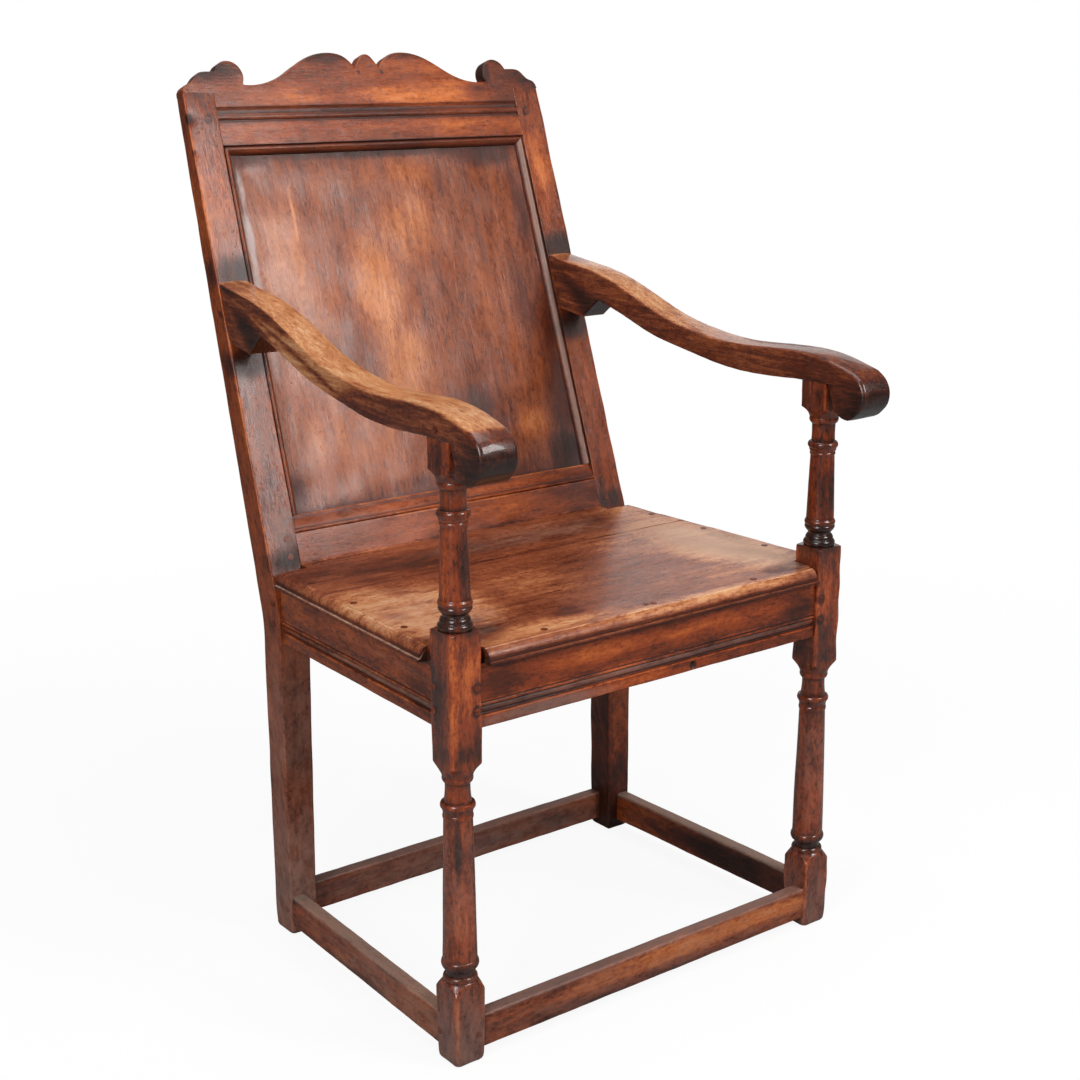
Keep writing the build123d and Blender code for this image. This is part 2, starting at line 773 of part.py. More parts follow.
def arm_half(which, y):
    """Half width to the inner (0) or outer (1) face of an arm at a distance y."""
    span = arm_rear_place + knob_reach
    widening = (arm_front_half[which] - arm_rear_half[which]) / span
    return arm_rear_half[which] + (front_y + arm_rear_place - y) * widening


with BuildPart() as arm_left:
    with BuildSketch(Plane.YZ):
        with BuildLine():
            Spline(*arm_places(arm_top))
            Spline(*arm_places(knob_face), tangents=knob_flow)
            Spline(*arm_places(knob_under))
            Line(*arm_places([knob_under[-1], arm_under[0]]))
            Spline(*arm_places(arm_under + [arm_notch]))
            Polyline(*arm_places([arm_notch, arm_cusp, arm_heel, arm_top[0]]))
        make_face()
    extrude(amount=far, both=True)
    with BuildSketch():
        with BuildLine():
            tip = front_y - knob_reach - 1
            end = front_y + arm_top[0][0] + 1
            Polyline(
                (-arm_half(0, tip), tip), (-arm_half(1, tip), tip),
                (-arm_half(1, end), end), (-arm_half(0, end), end), close=True,
            )
        make_face()
    extrude(amount=2 * far, mode=Mode.INTERSECT)
    upper_edges = arm_left.edges().filter_by(lambda edge: edge.length > far).sort_by(Axis.Z)[-2:]
    fillet(upper_edges, radius=arm_round)
    add(left_blank, mode=Mode.SUBTRACT)
    add(arm_tenons())
    add(post_tenon(play, end_play), mode=Mode.SUBTRACT)
    add(peg_holes.part, mode=Mode.SUBTRACT)
with BuildPart() as arm_right:
    mirror(arm_left.part, about=Plane.YZ)


# ---- seat boards --------------------------------------------------------------------
def edge_section(plane, at):
    """Cut along an edge of the seat that is at local x, with the board beyond it: a narrow
    step above the square fillet, then a quarter round up to the top."""
    low = board_under + edge_fillet
    inner = at + edge_step + edge_round
    with BuildSketch(plane) as outline:
        with BuildLine():
            Polyline((inner, seat_height), (inner, seat_height + 1), (at - 1, seat_height + 1),
                     (at - 1, low), (at + edge_step, low))
            EllipticalCenterArc((inner, low), edge_round, seat_height - low, 90, arc_size=90)
        make_face()
    return outline.sketch


nose_half = inner_front - nose_gap
notch_half = inner_front - notch_gap
notch_back = post + notch_gap
step_half = side_front - nose_depth
heel_back = frame_depth + heel
seat_outline = [         # right half of the plan, (half width, distance behind the front)
    (0, -nose), (nose_half, -nose), (nose_half, nose_depth), (notch_half, nose_depth),
    (notch_half, notch_back), (step_half, notch_back), (step_half, side_start),
    (side_front, side_start), (side_rear, heel_back), (half_rear, heel_back),
    (half_rear, frame_depth + post / 2), (gap_half(seat_height), frame_depth + post / 2),
    (gap_half(seat_height), frame_depth + under_back), (0, frame_depth + under_back),
]

side_edge = Vector(side_front - side_rear, heel_back - side_start)
with BuildPart() as side_edge_cut:
    extrude(
        edge_section(Plane.XZ.offset(-front_y - side_start), -side_front),
        amount=side_edge.length + 1, dir=side_edge.normalized(),
    )
    mirror(about=Plane.YZ)
with BuildPart() as seat:
    with BuildSketch(Plane.XY.offset(board_under)):
        with BuildLine():
            Polyline(*[(x, front_y + y) for x, y in seat_outline])
            mirror(about=Plane.YZ)
        make_face()
    extrude(amount=seat_height - board_under)
    nose_edge = edge_section(Plane.YZ, front_y - nose)
    extrude(nose_edge, amount=nose_half, both=True, mode=Mode.SUBTRACT)
    add(side_edge_cut.part, mode=Mode.SUBTRACT)
    add(left_blank, mode=Mode.SUBTRACT)
    add(right_blank, mode=Mode.SUBTRACT)
    add(peg_holes.part, mode=Mode.SUBTRACT)

joint_plane = Plane.XZ.offset(-front_y - board_split)
with BuildPart() as seat_board_front:
    add(seat.part)
    split(bisect_by=joint_plane.offset(split_gap / 2), keep=Keep.TOP)
with BuildPart() as seat_board_rear:
    add(seat.part)
    split(bisect_by=joint_plane.offset(-split_gap / 2), keep=Keep.BOTTOM)


# ---- finished pieces ----------------------------------------------------------------
pieces = {
    "front_post_left": front_post_left.part,
    "front_post_right": front_post_right.part,
    "rear_post_left": rear_post_left.part,
    "rear_post_right": rear_post_right.part,
    "seat_rail_front": seat_rail_front,
    "seat_rail_rear": seat_rail_rear,
    "seat_rail_left": seat_rail_left.part,
    "seat_rail_right": seat_rail_right.part,
    "stretcher_front": stretcher_front,
    "stretcher_rear": stretcher_rear,
    "stretcher_left": stretcher_left.part,
    "stretcher_right": stretcher_right.part,
    "crest_rail": crest_rail.part,
    "lower_back_rail": lower_back_rail.part,
    "back_panel": back_panel.part,
    "arm_left": arm_left.part,
    "arm_right": arm_right.part,
    "seat_board_front": seat_board_front.part,
    "seat_board_rear": seat_board_rear.part,
    "pegs_seat_rail_front": pegs(front_rail_pegs),
    "pegs_seat_rail_rear": pegs(rear_rail_pegs),
    "pegs_seat_rail_left": pegs(side_rail_pegs),
    "pegs_seat_rail_right": mirrored(pegs(side_rail_pegs)),
    "pegs_stretchers_cross": pegs(cross_stretcher_pegs),
    "pegs_stretchers_side": both_sides(pegs(left_stretcher_pegs)),
    "pegs_crest_rail": pegs(crest_pegs),
    "pegs_lower_back_rail": pegs(lower_pegs),
    "pegs_arms": both_sides(pegs(left_arm_pegs)),
    "pegs_seat_boards": pegs(seat_pegs),
}

os.makedirs("parts", exist_ok=True)
for name, piece in pieces.items():
    piece.label = name
    export_step(piece, f"parts/{name}.step")
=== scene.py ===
import math
import bpy
import numpy as np
from mathutils import Matrix, Vector


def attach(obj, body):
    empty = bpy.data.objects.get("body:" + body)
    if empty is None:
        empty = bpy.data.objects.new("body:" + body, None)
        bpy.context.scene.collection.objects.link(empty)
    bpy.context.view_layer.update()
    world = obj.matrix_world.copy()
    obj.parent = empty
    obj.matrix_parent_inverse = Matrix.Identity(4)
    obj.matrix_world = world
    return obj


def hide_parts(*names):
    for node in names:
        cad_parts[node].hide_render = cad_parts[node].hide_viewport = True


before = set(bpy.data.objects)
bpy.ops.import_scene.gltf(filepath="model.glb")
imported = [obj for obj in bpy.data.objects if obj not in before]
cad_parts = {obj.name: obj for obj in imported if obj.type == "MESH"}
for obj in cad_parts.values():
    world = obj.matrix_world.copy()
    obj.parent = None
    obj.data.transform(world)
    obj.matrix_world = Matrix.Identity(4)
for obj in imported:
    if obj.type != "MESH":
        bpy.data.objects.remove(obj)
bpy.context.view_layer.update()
print("frame loaded:", len(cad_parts), "nodes")

# millimetres, in the chair's own frame: the shared lines that the timbers were set out from
chair = {
    "rake": math.radians(18.5), "frontY": -265.178, "rearY": 99.822, "rakeStart": 415,
    "halfFront": 278, "halfRear": 267, "halfTop": 257.5, "post": 38,
    "seat": 460, "boardUnder": 444, "stileTop": 992, "gapSeat": 226, "gapTop": 218,
    "panelLow": 516, "panelHigh": 922, "mouldWidth": 11,
}
sides = ((-1, "left"), (1, "right"))
leanSin, leanCos, leanTan = (f(chair["rake"]) for f in (math.sin, math.cos, math.tan))
frontY, rearY, rakeStart, seatTop, stileTop, panelHigh = (
    chair[key] for key in ("frontY", "rearY", "rakeStart", "seat", "stileTop", "panelHigh"))
mitreTop = panelHigh + chair["mouldWidth"] * leanCos


def gapHalf(height):
    # half the clear width between the stiles, straight from seat to stile top
    rise = (stileTop - height) / (stileTop - seatTop)
    return chair["gapTop"] + rise * (chair["gapSeat"] - chair["gapTop"])


def onBack(x, height, depth):
    # a point on the raked face at a height, then square behind it by a depth
    y = rearY + (height - rakeStart) * leanTan + depth * leanCos
    return np.stack(np.broadcast_arrays(x, y, height - depth * leanSin), -1)


def sideLine(y, setBack):
    # half width over the side rails, set back from the posts, at a distance y
    taper = (chair["halfFront"] - chair["halfRear"]) / (rearY - frontY - chair["post"])
    return chair["halfFront"] - setBack - (y - frontY - chair["post"]) * taper



def unit(vectors):
    return vectors / np.linalg.norm(vectors, axis=-1, keepdims=True)


def squareTo(tangent):
    # unit normals of an outline from its tangents
    return unit(np.stack([-tangent[:, 1], tangent[:, 0]], -1))


def ripple(points, size, seed, waves=10):
    # slow swell from about -1 to 1: a sum of sines of nearly one length in seeded directions
    rng = np.random.default_rng(seed)
    turn = unit(rng.normal(size=(waves, 3)))
    pace = math.tau / size * rng.uniform(0.6, 1.5, waves)
    phase = rng.uniform(0, math.tau, waves)
    return np.sin(points @ (turn * pace[:, None]).T + phase).sum(-1) * 0.9 / math.sqrt(waves)


def soleInset(height, radius):
    # how far a rounded sole draws in: a quarter circle up to its radius
    return radius * (1 - np.sqrt(1 - (1 - np.minimum(height / radius, 1)) ** 2))


def spread(start, end, step, ends=()):
    # even stations from start to end, with extra ones close to both ends
    inner = np.linspace(start, end, max(2, int(abs(end - start) / step) + 1))
    way = 1 if end > start else -1
    extra = [start + way * e for e in ends] + [end - way * e for e in ends]
    values = np.unique(np.concatenate([inner, extra]))
    return values if way > 0 else values[::-1]


def roundedLoop(corners, radii, arcCount=4, flatCount=5):
    # closed section: each corner becomes a quadratic arc that starts and ends a radius away,
    # and the flats between them carry points that crowd towards the arcs
    corners = np.asarray(corners, float)
    radii = np.broadcast_to(np.asarray(radii, float), corners.shape[:-1])
    before = np.roll(corners, 1, -2) - corners
    after = np.roll(corners, -1, -2) - corners
    beforeLength = np.linalg.norm(before, axis=-1)
    afterLength = np.linalg.norm(after, axis=-1)
    start = corners + before * (np.minimum(radii, 0.45 * beforeLength) / beforeLength)[..., None]
    end = corners + after * (np.minimum(radii, 0.45 * afterLength) / afterLength)[..., None]
    t = np.linspace(0, 1, arcCount + 1)[:, None]
    arc = ((1 - t) ** 2 * start[..., None, :] + 2 * t * (1 - t) * corners[..., None, :]
           + t ** 2 * end[..., None, :])
    f = (1 - np.cos(math.pi * np.arange(1, flatCount + 1) / (flatCount + 1)))[:, None] / 2
    flat = end[..., None, :] * (1 - f) + np.roll(start, -1, -2)[..., None, :] * f
    both = np.concatenate([arc, flat], -2)
    return both.reshape(*both.shape[:-3], -1, 2)


def edgeMarks(loop, corners, reach=2.4):
    # how near each loop point is to an outer corner (arris) and to an inner one (crease)
    corners = np.asarray(corners, float)
    a = corners - np.roll(corners, 1, 0)
    b = np.roll(corners, -1, 0) - corners
    turn = np.arctan2(a[:, 0] * b[:, 1] - a[:, 1] * b[:, 0], (a * b).sum(1))
    turn *= np.sign(turn.sum())
    gap = np.linalg.norm(loop[:, None] - corners[None], axis=-1)
    arris = (np.exp(-(gap / reach) ** 1.5) * np.clip(turn / 1.2, 0, 1)).max(1)
    crease = (np.exp(-(gap / 1.3) ** 1.2) * np.clip(-turn / 0.9, 0, 1)).max(1)
    return arris, crease


def bumpOut(points, amount):
    # moves a closed grid along its own normals, worked out from its neighbours
    along = np.gradient(points, axis=0)
    around = np.roll(points, -1, 1) - np.roll(points, 1, 1)
    normal = np.cross(around, along)
    size = np.linalg.norm(normal, axis=-1, keepdims=True)
    return points + np.where(size > 1e-6, normal / np.maximum(size, 1e-6), 0) * amount[..., None]


def both(spots):
    # painted spots and their mirror images
    return [(way * x, *rest) for x, *rest in spots for way in (-1, 1)]


def blobs(points, spots):
    # painted places: each spot is a soft ellipsoid, given by its centre, radii and strength
    total = np.zeros(points.shape[:-1])
    for spot in spots:
        gap = (((points - np.array(spot[:3])) / np.array(spot[3:6])) ** 2).sum(-1)
        total = np.maximum(total, spot[6] * np.exp(-gap ** 1.3))
    return total


# the painted marks: the stain mark holds real stains and also painted shadows, the crease mark darkens
# hollows with dirt and painted shade, and the dust mark holds dust and also painted sheen and highlights
paintedMarks = ("arris", "crease", "stain", "pale", "dust")


def buildPiece(name, node, finish, shells, swell=(0.22, 0.06), seed=1, dents=(), **spots):
    # a closed surface for each shell: rows of a grid joined in rings, each end flat or folded; it
    # swells a little, is dented where asked, and keeps the painted places as attributes
    verts, quads, ends, marks = [], [], [], {key: [] for key in paintedMarks}
    base = 0
    for shell in shells:
        points = shell["points"]
        amount = swell[0] * ripple(points, 70, seed) + swell[1] * ripple(points, 19, seed + 7)
        points = bumpOut(points, amount * shell.get("loose", 1) - blobs(points, dents))
        rows, ring = points.shape[:2]
        grid = np.arange(rows * ring).reshape(rows, ring)
        step = np.roll(grid, -1, 1)
        quad = np.stack([grid[:-1], step[:-1], step[1:], grid[1:]], -1).reshape(-1, 4)
        folds = shell.get("folds", [np.arange(ring)])
        caps = [grid[0, fold][::-1] for fold in folds] + [grid[-1, fold] for fold in folds]
        flat = points.reshape(-1, 3)
        a, b, c, d = (flat[quad[:, i]] for i in range(4))
        volume = (np.cross(a, b) * c).sum() + (np.cross(a, c) * d).sum()
        for cap in caps:
            fan = flat[cap]
            volume += (np.cross(fan[0], fan[1:-1]) * fan[2:]).sum()
        if volume < 0:
            quad = quad[:, ::-1]
            caps = [cap[::-1] for cap in caps]
        verts.append(flat)
        quads.append(quad + base)
        ends += [(cap + base).tolist() for cap in caps]
        for key in paintedMarks:
            given = np.broadcast_to(shell.get(key, 0.0), (rows, ring)).ravel()
            marks[key].append(np.maximum(given, blobs(flat, spots.get(key, ()))))
        base += rows * ring
    mesh = bpy.data.meshes.new(name)
    mesh.from_pydata((np.concatenate(verts) * 0.001).tolist(), [],
                     np.concatenate(quads).tolist() + ends)
    for key, values in marks.items():
        layer = mesh.attributes.new(key, "FLOAT", "POINT")
        layer.data.foreach_set("value", np.concatenate(values).astype(np.float32))
    smooth = np.ones(len(mesh.polygons), bool)
    smooth[-len(ends):] = False
    mesh.polygons.foreach_set("use_smooth", smooth)
    mesh.set_sharp_from_angle(angle=math.radians(38))
    material, slot = finishes[finish]
    mesh.materials.append(material)
    piece = bpy.data.objects.new(name, mesh)
    bpy.context.scene.collection.objects.link(piece)
    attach(piece, "root")
    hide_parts(node)


def throughPoints(points, count):
    # natural cubic through the points, spaced by chord, as a row of count points
    p = np.array(points, float)
    t = np.concatenate([[0], np.cumsum(np.linalg.norm(np.diff(p, axis=0), axis=1))])
    h = np.diff(t)
    n = len(p)
    m = np.zeros((n, n))
    r = np.zeros((n, 2))
    m[0, 0] = m[-1, -1] = 1
    for i in range(1, n - 1):
        m[i, i - 1:i + 2] = h[i - 1], 2 * (h[i - 1] + h[i]), h[i]
        r[i] = 6 * ((p[i + 1] - p[i]) / h[i] - (p[i] - p[i - 1]) / h[i - 1])
    k = np.linalg.solve(m, r)
    s = np.linspace(0, t[-1], count)
    i = np.clip(np.searchsorted(t, s, "right") - 1, 0, n - 2)
    a, b, hh = (t[i + 1] - s)[:, None], (s - t[i])[:, None], h[i][:, None]
    return (k[i] * a ** 3 + k[i + 1] * b ** 3) / (6 * hh) \
        + (p[i] / hh - k[i] * hh / 6) * a + (p[i + 1] / hh - k[i + 1] * hh / 6) * b


def arcThrough(first, middle, last, count):
    # circle arc through three points, or the straight line where they are in line
    a, b, c = (np.array(v, float) for v in (first, middle, last))
    area = np.cross(b - a, c - a)
    if abs(area) < 1e-6:
        return a + (c - a) * np.linspace(0, 1, count)[:, None]
    squares = np.array([(v ** 2).sum() for v in (a, b, c)])
    side = np.array([b - c, c - a, a - b])
    centre = np.array([(squares * side[:, 1]).sum(), -(squares * side[:, 0]).sum()]) / (2 * area)
    radius = np.linalg.norm(a - centre)
    angles = [math.atan2(*(v - centre)[::-1]) for v in (a, b, c)]
    while area > 0 and angles[2] < angles[0]:
        angles[2] += 2 * math.pi
    while area < 0 and angles[2] > angles[0]:
        angles[2] -= 2 * math.pi
    sweep = np.linspace(angles[0], angles[2], count)
    return centre + radius * np.stack([np.cos(sweep), np.sin(sweep)], -1)


class Nodes:
    # short way to lay out a node tree: add a node, set its sockets, link what is given
    def __init__(self, tree):
        self.tree = tree

    def add(self, kind, settings=None, **sockets):
        node = self.tree.nodes.new("ShaderNode" + kind)
        for key, value in (settings or {}).items():
            setattr(node, key, value)
        for key, value in sockets.items():
            self.put(node.inputs[key.replace("_", " ")], value)
        return node

    def put(self, socket, value):
        if isinstance(value, bpy.types.NodeSocket):
            self.tree.links.new(value, socket)
        else:
            socket.default_value = value

    def fill(self, sockets, values):
        for socket, value in zip(sockets, values):
            self.put(socket, value)

    def math(self, operation, a, b=0.0, c=0.0, clamp=False):
        node = self.add("Math", {"operation": operation, "use_clamp": clamp})
        self.fill(node.inputs, (a, b, c))
        return node.outputs[0]

    def vector(self, operation, *values):
        node = self.add("VectorMath", {"operation": operation})
        self.fill(node.inputs, values)
        return node.outputs["Value" if operation in ("DOT_PRODUCT", "LENGTH") else "Vector"]

    def total(self, start, terms, clamp=False):
        # a start value plus each value times its weight
        for value, weight in terms:
            start = self.math("MULTIPLY_ADD", value, weight, start)
        return self.math("ADD", start, 0.0, clamp=True) if clamp else start

    def ramp(self, value, low, high, toLow=0.0, toHigh=1.0):
        node = self.add("MapRange", {"interpolation_type": "SMOOTHSTEP"})
        self.fill(node.inputs, (value, low, high, toLow, toHigh))
        return node.outputs[0]

    def noise(self, vector, stretch, scale, detail=3.0, rough=0.5, cut=None):
        # stretch below 1 draws the pattern out along the grain; cut makes a mask between two values
        drawn = self.vector("MULTIPLY", vector, (stretch, 1.0, 1.0))
        node = self.add("TexNoise", Vector=drawn, Scale=scale, Detail=detail, Roughness=rough)
        return self.ramp(node.outputs["Fac"], *cut) if cut else node.outputs["Fac"]

    def mix(self, factor, a, b):
        node = self.add("Mix", {"data_type": "RGBA"})
        self.put(node.inputs[0], factor)
        for socket, value in ((node.inputs[6], a), (node.inputs[7], b)):
            self.put(socket, (*value, 1.0) if isinstance(value, tuple) else value)
        return node.outputs[2]

    def blend(self, factor, a, b):
        node = self.add("MixShader")
        self.fill(node.inputs, (factor, a, b))
        return node.outputs[0]

    def scale(self, value, stops):
        # colour scale: pairs of place and colour
        node = self.add("ValToRGB")
        self.put(node.inputs[0], value)
        points = node.color_ramp.elements
        points[0].position, points[1].position = stops[0][0], stops[-1][0]
        points[0].color, points[1].color = (*stops[0][1], 1.0), (*stops[-1][1], 1.0)
        for place, colour in stops[1:-1]:
            points.new(place).color = (*colour, 1.0)
        return node.outputs[0]


def newGroup(name, inputs, outputs):
    tree = bpy.data.node_groups.new(name, "ShaderNodeTree")
    for label, kind in inputs:
        tree.interface.new_socket(label, in_out="INPUT", socket_type="NodeSocket" + kind)
    for label in outputs:
        tree.interface.new_socket(label, in_out="OUTPUT", socket_type="NodeSocketFloat")
    given, out = (tree.nodes.new("NodeGroup" + end) for end in ("Input", "Output"))
    return Nodes(tree), given.outputs, out.inputs


def oakGrainGroup():
    # wood figure on a vector whose x runs along the grain, in metres
    n, given, out = newGroup("oakGrain", [("Vector", "Vector"), ("Pace", "Vector"), ("Warp", "Float")],
                             ("Ring", "Streak", "Fibre", "Pore"))
    drawn = n.vector("MULTIPLY", given[0], (0.5, 1.0, 1.0))
    wander = n.add("TexNoise", Vector=drawn, Scale=5.0, Detail=1.0).outputs["Color"]
    line = n.vector("MULTIPLY_ADD", wander, (0.0, 0.03, 0.03), given[0])
    turns = n.math("MULTIPLY_ADD", n.noise(line, 0.13, 13.0), given["Warp"],
                   n.vector("DOT_PRODUCT", line, given["Pace"]))
    wave = n.math("SINE", n.math("MULTIPLY", turns, math.tau))
    n.put(out["Ring"], n.math("MULTIPLY_ADD", wave, 0.5, 0.5))
    n.put(out["Streak"], n.noise(line, 0.05, 150.0, 6.0, 0.66, (0.25, 0.75)))
    n.put(out["Fibre"], n.noise(line, 0.1, 420.0, 4.0, 0.6, (0.28, 0.72)))
    n.put(out["Pore"], n.math("MULTIPLY", n.noise(line, 0.05, 1100.0, 2.0, cut=(0.52, 0.66)),
                              n.noise(line, 0.2, 60.0, 2.0, cut=(0.35, 0.6))))
    return n.tree


def ageGroup():
    # uneven old patina, hand wear on outer corners, dirt and painted shade in hollows, and ragged painted
    # places, among them painted shadows and painted sheen
    n, given, out = newGroup(
        "ageMarks", [("Vector", "Vector"), *((k.title(), "Float") for k in paintedMarks), ("Tear", "Float")],
        ("Cloud", "Mottle", "Small", "Wear", "GrimeAndShade", "Speck", "Fleck", "Gold", "DustSheenMask"))
    place = given["Vector"]
    mottle = n.noise(place, 0.4, 75.0, 6.0, 0.7, (0.28, 0.72))
    small = n.noise(place, 0.6, 230.0, 4.0, 0.62)
    ragged = n.noise(place, 0.3, 48.0, 7.0, 0.72, (0.28, 0.72))
    n.put(out["Cloud"], n.noise(place, 0.6, 9.0, 4.0, 0.55, (0.3, 0.7)))
    n.put(out["Mottle"], mottle)
    n.put(out["Small"], n.ramp(small, 0.25, 0.75))
    n.put(out["Speck"], n.ramp(n.math("MULTIPLY_ADD", mottle, 0.1, small), 0.66, 0.74))
    n.put(out["Fleck"], n.noise(place, 0.35, 330.0, 3.0, 0.6, (0.54, 0.64)))
    patchy = n.total(0.1, ((mottle, 0.8), (small, 0.9)))
    n.put(out["Wear"], n.ramp(n.math("MULTIPLY", given["Arris"], patchy), 0.45, 1.0))
    torn = n.math("MULTIPLY_ADD", n.total(-0.75, ((ragged, 0.8), (small, 0.7))), given["Tear"], 0.9)
    # stains, and shadows painted as stains, torn into ragged blots
    blotAndShade = n.ramp(n.math("MULTIPLY", given["Stain"], torn), 0.12, 0.85)
    # hollows and inner corners darken: dirt and painted shade
    hollowDark = n.math("MULTIPLY", given["Crease"], n.total(0.35, ((mottle, 0.5), (small, 0.5))))
    n.put(out["GrimeAndShade"], n.math("ADD", blotAndShade, hollowDark, clamp=True))
    n.put(out["Gold"], n.ramp(n.math("MULTIPLY", given["Pale"], torn), 0.05, 0.95))
    # dust on the lower timbers and top faces; the same mark also carries painted sheen and highlights, mixed
    # in as a pale colour
    dustSheen = n.math("MULTIPLY", given["Dust"], n.total(0.32, ((mottle, 0.5), (small, 0.65))))
    n.put(out["DustSheenMask"], n.ramp(dustSheen, 0.2, 1.05))
    return n.tree


grainGroup, ageMarks = oakGrainGroup(), ageGroup()
grainTurn = {             # turns each timber's length onto the grain's x
    "x": (0, 0, 0), "y": (0, 0, -math.pi / 2), "z": (0, math.pi / 2, 0),
    "back": (chair["rake"], math.pi / 2, 0),
}


def oakFinish(name, grain, s):
    # old waxed oak: every mark moves one tone value, which a colour scale turns into wood colour
    finish = bpy.data.materials.new(name)
    finish.use_nodes = True
    finish.node_tree.nodes.clear()
    n = Nodes(finish.node_tree)
    place = n.add("TexCoord").outputs["Object"]
    turned = n.add("Mapping", Vector=place, Rotation=grainTurn[grain]).outputs[0]
    wood = n.add("Group", {"node_tree": grainGroup}, Vector=turned, Pace=s["pace"], Warp=s["warp"]).outputs
    painted = [n.add("Attribute", {"attribute_name": k}).outputs["Fac"] for k in paintedMarks]
    age = n.add("Group", {"node_tree": ageMarks}, Vector=turned)
    n.fill(age.inputs[1:], [*painted, s["tear"]])
    age = age.outputs
    even = [(wood["Ring"], s["ring"]), (wood["Streak"], s["streak"]), (wood["Fibre"], s["fibre"]),
            (age["Cloud"], s["cloud"]), (age["Mottle"], s["mottle"]), (age["Small"], s["small"])]
    marks = [(age["Gold"], s["gild"]), (age["Wear"], s["wear"]), (age["GrimeAndShade"], -s["grimeAndShade"]),
             (age["Speck"], -s["speck"]), (age["Fleck"], -s["fleck"]), (wood["Pore"], -s["pore"])]
    middle = s["tone"] - sum(weight for _, weight in even) / 2
    colour = n.scale(n.total(middle, even + marks), s["colours"])
    # dust and painted sheen both mix the colour towards one pale tint
    colour = n.mix(n.math("MULTIPLY", age["DustSheenMask"], s["dusty"]), colour, s["dustColour"])
    rough = n.total(s["rough"], ((age["Mottle"], 0.08), (age["GrimeAndShade"], s["dull"]), (age["DustSheenMask"], 0.2),
                                 (age["Speck"], 0.1)), True)
    relief = n.total(0.0, ((wood["Pore"], -0.5), (wood["Fibre"], 0.35), (wood["Streak"], 0.35),
                           (age["Small"], 0.4), (age["Speck"], -0.8), (age["Mottle"], 0.4)))
    bump = n.add("Bump", Height=relief, Strength=s["bump"], Distance=0.0006)
    shader = n.add("BsdfPrincipled", Base_Color=colour, Roughness=rough, Normal=bump.outputs[0],
                   IOR=s["gloss"], Coat_Weight=s["coat"], Coat_Roughness=s["coatRough"])
    n.add("OutputMaterial", Surface=shader.outputs[0])
    return finish


darkTones = [(0.0, (0.007, 0.004, 0.003)), (0.2, (0.034, 0.010, 0.006)), (0.38, (0.10, 0.020, 0.008))]


def toneScale(*brighter):
    return darkTones + list(zip((0.58, 0.78, 1.0), brighter))


redScale = toneScale((0.28, 0.058, 0.014), (0.54, 0.145, 0.032), (0.68, 0.28, 0.10))
emberScale = toneScale((0.29, 0.05, 0.011), (0.52, 0.118, 0.024), (0.64, 0.22, 0.07))
warmScale = toneScale((0.285, 0.07, 0.02), (0.53, 0.18, 0.055), (0.68, 0.34, 0.155))
tanScale = toneScale((0.26, 0.072, 0.024), (0.48, 0.20, 0.08), (0.64, 0.39, 0.21))
seatScale = toneScale((0.26, 0.071, 0.028), (0.49, 0.19, 0.076), (0.65, 0.385, 0.20))
dustyScale = toneScale((0.165, 0.07, 0.048), (0.28, 0.12, 0.07), (0.36, 0.18, 0.11))
grainKeys = ("tone", "cloud", "streak", "fibre", "mottle", "small", "pore")
oakTones = {              # how far each mark moves the tone, and how the surface takes light
    "ring": 0.04, "gild": 0.26, "wear": 0.2, "grimeAndShade": 0.3, "speck": 0.16, "fleck": 0.08, "tear": 0.7,
    "colours": redScale, "dusty": 0.6, "dustColour": (0.22, 0.145, 0.12), "pace": (0.4, 30.0, 22.0),
    "warp": 9.0, "rough": 0.24, "dull": 0.15, "coat": 0.08, "coatRough": 0.12, "gloss": 1.39, "bump": 0.26,
}
